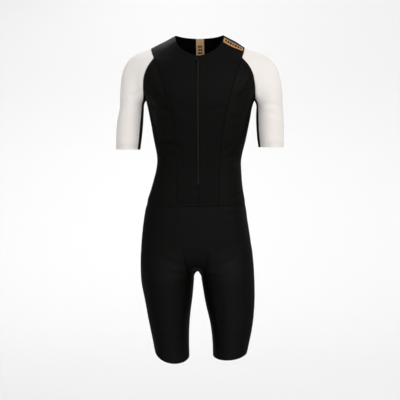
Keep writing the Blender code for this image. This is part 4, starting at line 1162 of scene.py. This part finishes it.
def shoulder_strip():
    """The tape on the left shoulder as a grid between its two long edges, with its own flat map."""
    edges = [walked(edge, 0.0015) for edge in (SHOULDER_TAPE_LOW, SHOULDER_TAPE_TOP)]
    body = bmesh.new()
    rows, columns = SHOULDER_TAPE_FACES
    bmesh.ops.create_grid(body, x_segments=columns, y_segments=rows, size=0.5)
    uv = body.loops.layers.uv.verify()
    wide, long = SHOULDER_TAPE_SIZE
    for face in body.faces:
        for loop in face.loops:
            loop[uv].uv = (loop.vert.co.y * wide, loop.vert.co.x * long)
    for vert in body.verts:
        along, across = vert.co.x + 0.5, vert.co.y + 0.5
        low, top = (
            Vector([np.interp(along, np.linspace(0, 1, len(edge)), edge[:, axis]) for axis in range(3)])
            for edge in edges
        )
        vert.co = low.lerp(top, across)
    bmesh.ops.recalc_face_normals(body, faces=body.faces)
    if sum(face.normal.z for face in body.faces) < 0:
        bmesh.ops.reverse_faces(body, faces=body.faces)
    return to_mesh("shoulder_tape", body)


def area_light(lamp, power):
    light = bpy.data.lights.new(lamp.name, "AREA")
    light.shape = "RECTANGLE"
    light.size, light.size_y = lamp.size
    light.energy = power
    made = new_object(lamp.name, light)
    made.location = lamp.place
    made.rotation_euler = (Vector(AIM) - Vector(lamp.place)).to_track_quat("-Z", "Y").to_euler()


class SUIT_OT_set_stage(Operator):
    """Set up the floor, the soft studio light and the camera"""

    bl_idname = "suit.set_stage"
    bl_label = "Stage"

    def execute(self, context):
        scene = context.scene
        settings = scene.suit_stage
        body = bmesh.new()
        bmesh.ops.create_grid(body, x_segments=2, y_segments=60, size=FLOOR_HALF)
        for vert in body.verts:
            run = vert.co.y + FLOOR_HALF - settings.sweep_start - FLOOR_FRONT
            turn = min(max(run / settings.sweep, 0.0), np.pi / 2)
            rise = max(run - settings.sweep * np.pi / 2, 0.0)
            flat = min(run, 0.0) * FLOOR_REACH
            vert.co.x *= FLOOR_REACH
            vert.co.y = settings.sweep_start + flat + settings.sweep * np.sin(turn)
            vert.co.z = settings.floor + settings.sweep * (1 - np.cos(turn)) + rise
        floor = new_object("floor", to_mesh("floor", body))
        floor.data.shade_smooth()
        floor.visible_glossy = False
        pale = Recipe("pale_floor", Roughness=0.9, Specular_IOR_Level=0.1)
        cloud = pale.noise(pale.object_place(), 0.6)
        floor.data.materials.append(
            pale.finish(Base_Color=pale.mix(cloud, shaded(settings.pale, 0.99), settings.pale))
        )

        scene.world = bpy.data.worlds.new("studio")
        scene.world.use_nodes = True
        sky = Sky(scene.world)
        way = Vector(settings.soft_from).normalized()
        facing = sky.node("ShaderNodeVectorMath", {"operation": "DOT_PRODUCT"}, sky.object_place(), way)
        front = Value(sky, facing.outputs["Value"]) * 0.5 + 0.5
        seen = Value(sky, sky.node("ShaderNodeLightPath").outputs["Is Camera Ray"])
        soft = front * front * front * (settings.front - settings.back) + settings.back
        sky.finish(Color=(1.0, 1.0, 1.0), Strength=seen * settings.paper + (1 - seen) * soft)

        for lamp in LAMPS:
            area_light(lamp, getattr(settings, lamp.name))

        camera = bpy.data.cameras.new("camera")
        camera.lens = settings.lens
        camera.sensor_width = 36.0
        eye = new_object("camera", camera)
        turn, tilt = settings.azimuth, settings.tilt
        eye.location = (
            settings.distance * np.sin(turn) + settings.aside,
            -settings.distance * np.cos(turn),
            settings.height,
        )
        eye.rotation_euler = (np.pi / 2 - tilt, 0, turn)
        scene.camera = eye
        scene.view_settings.view_transform = "Standard"
        return {"FINISHED"}


class SUIT_PT_panel(Panel):
    """The suit's settings and steps"""

    bl_idname = "SUIT_PT_panel"
    bl_label = "Triathlon suit"
    bl_space_type = "VIEW_3D"
    bl_region_type = "UI"
    bl_category = "Suit"

    def draw(self, context):
        for name, group in SETTINGS.items():
            box = self.layout.box()
            for key in group.__annotations__:
                box.prop(getattr(context.scene, name), key)
        for operator in STEPS:
            self.layout.operator(operator.bl_idname)


SETTINGS = {
    "suit_cloth": ClothSettings,
    "suit_stitch": StitchSettings,
    "suit_zip": ZipSettings,
    "suit_tape": TapeSettings,
    "suit_stage": StageSettings,
}
STEPS = (
    SUIT_OT_sew_panels,
    SUIT_OT_stitch_seams,
    SUIT_OT_stitch_hems,
    SUIT_OT_fit_zip,
    SUIT_OT_lay_tapes,
    SUIT_OT_set_stage,
)


def register():
    for group in SETTINGS.values():
        bpy.utils.register_class(group)
    for operator in STEPS:
        bpy.utils.register_class(operator)
    bpy.utils.register_class(SUIT_PT_panel)
    for name, group in SETTINGS.items():
        setattr(bpy.types.Scene, name, PointerProperty(type=group))


def unregister():
    for name in SETTINGS:
        delattr(bpy.types.Scene, name)
    bpy.utils.unregister_class(SUIT_PT_panel)
    for operator in reversed(STEPS):
        bpy.utils.unregister_class(operator)
    for group in SETTINGS.values():
        bpy.utils.unregister_class(group)


def main():
    register()
    bpy.ops.suit.sew_panels()
    bpy.ops.suit.stitch_seams()
    bpy.ops.suit.stitch_hems()
    bpy.ops.suit.fit_zip()
    bpy.ops.suit.lay_tapes()
    bpy.ops.suit.set_stage()


if __name__ == "__main__":
    main()
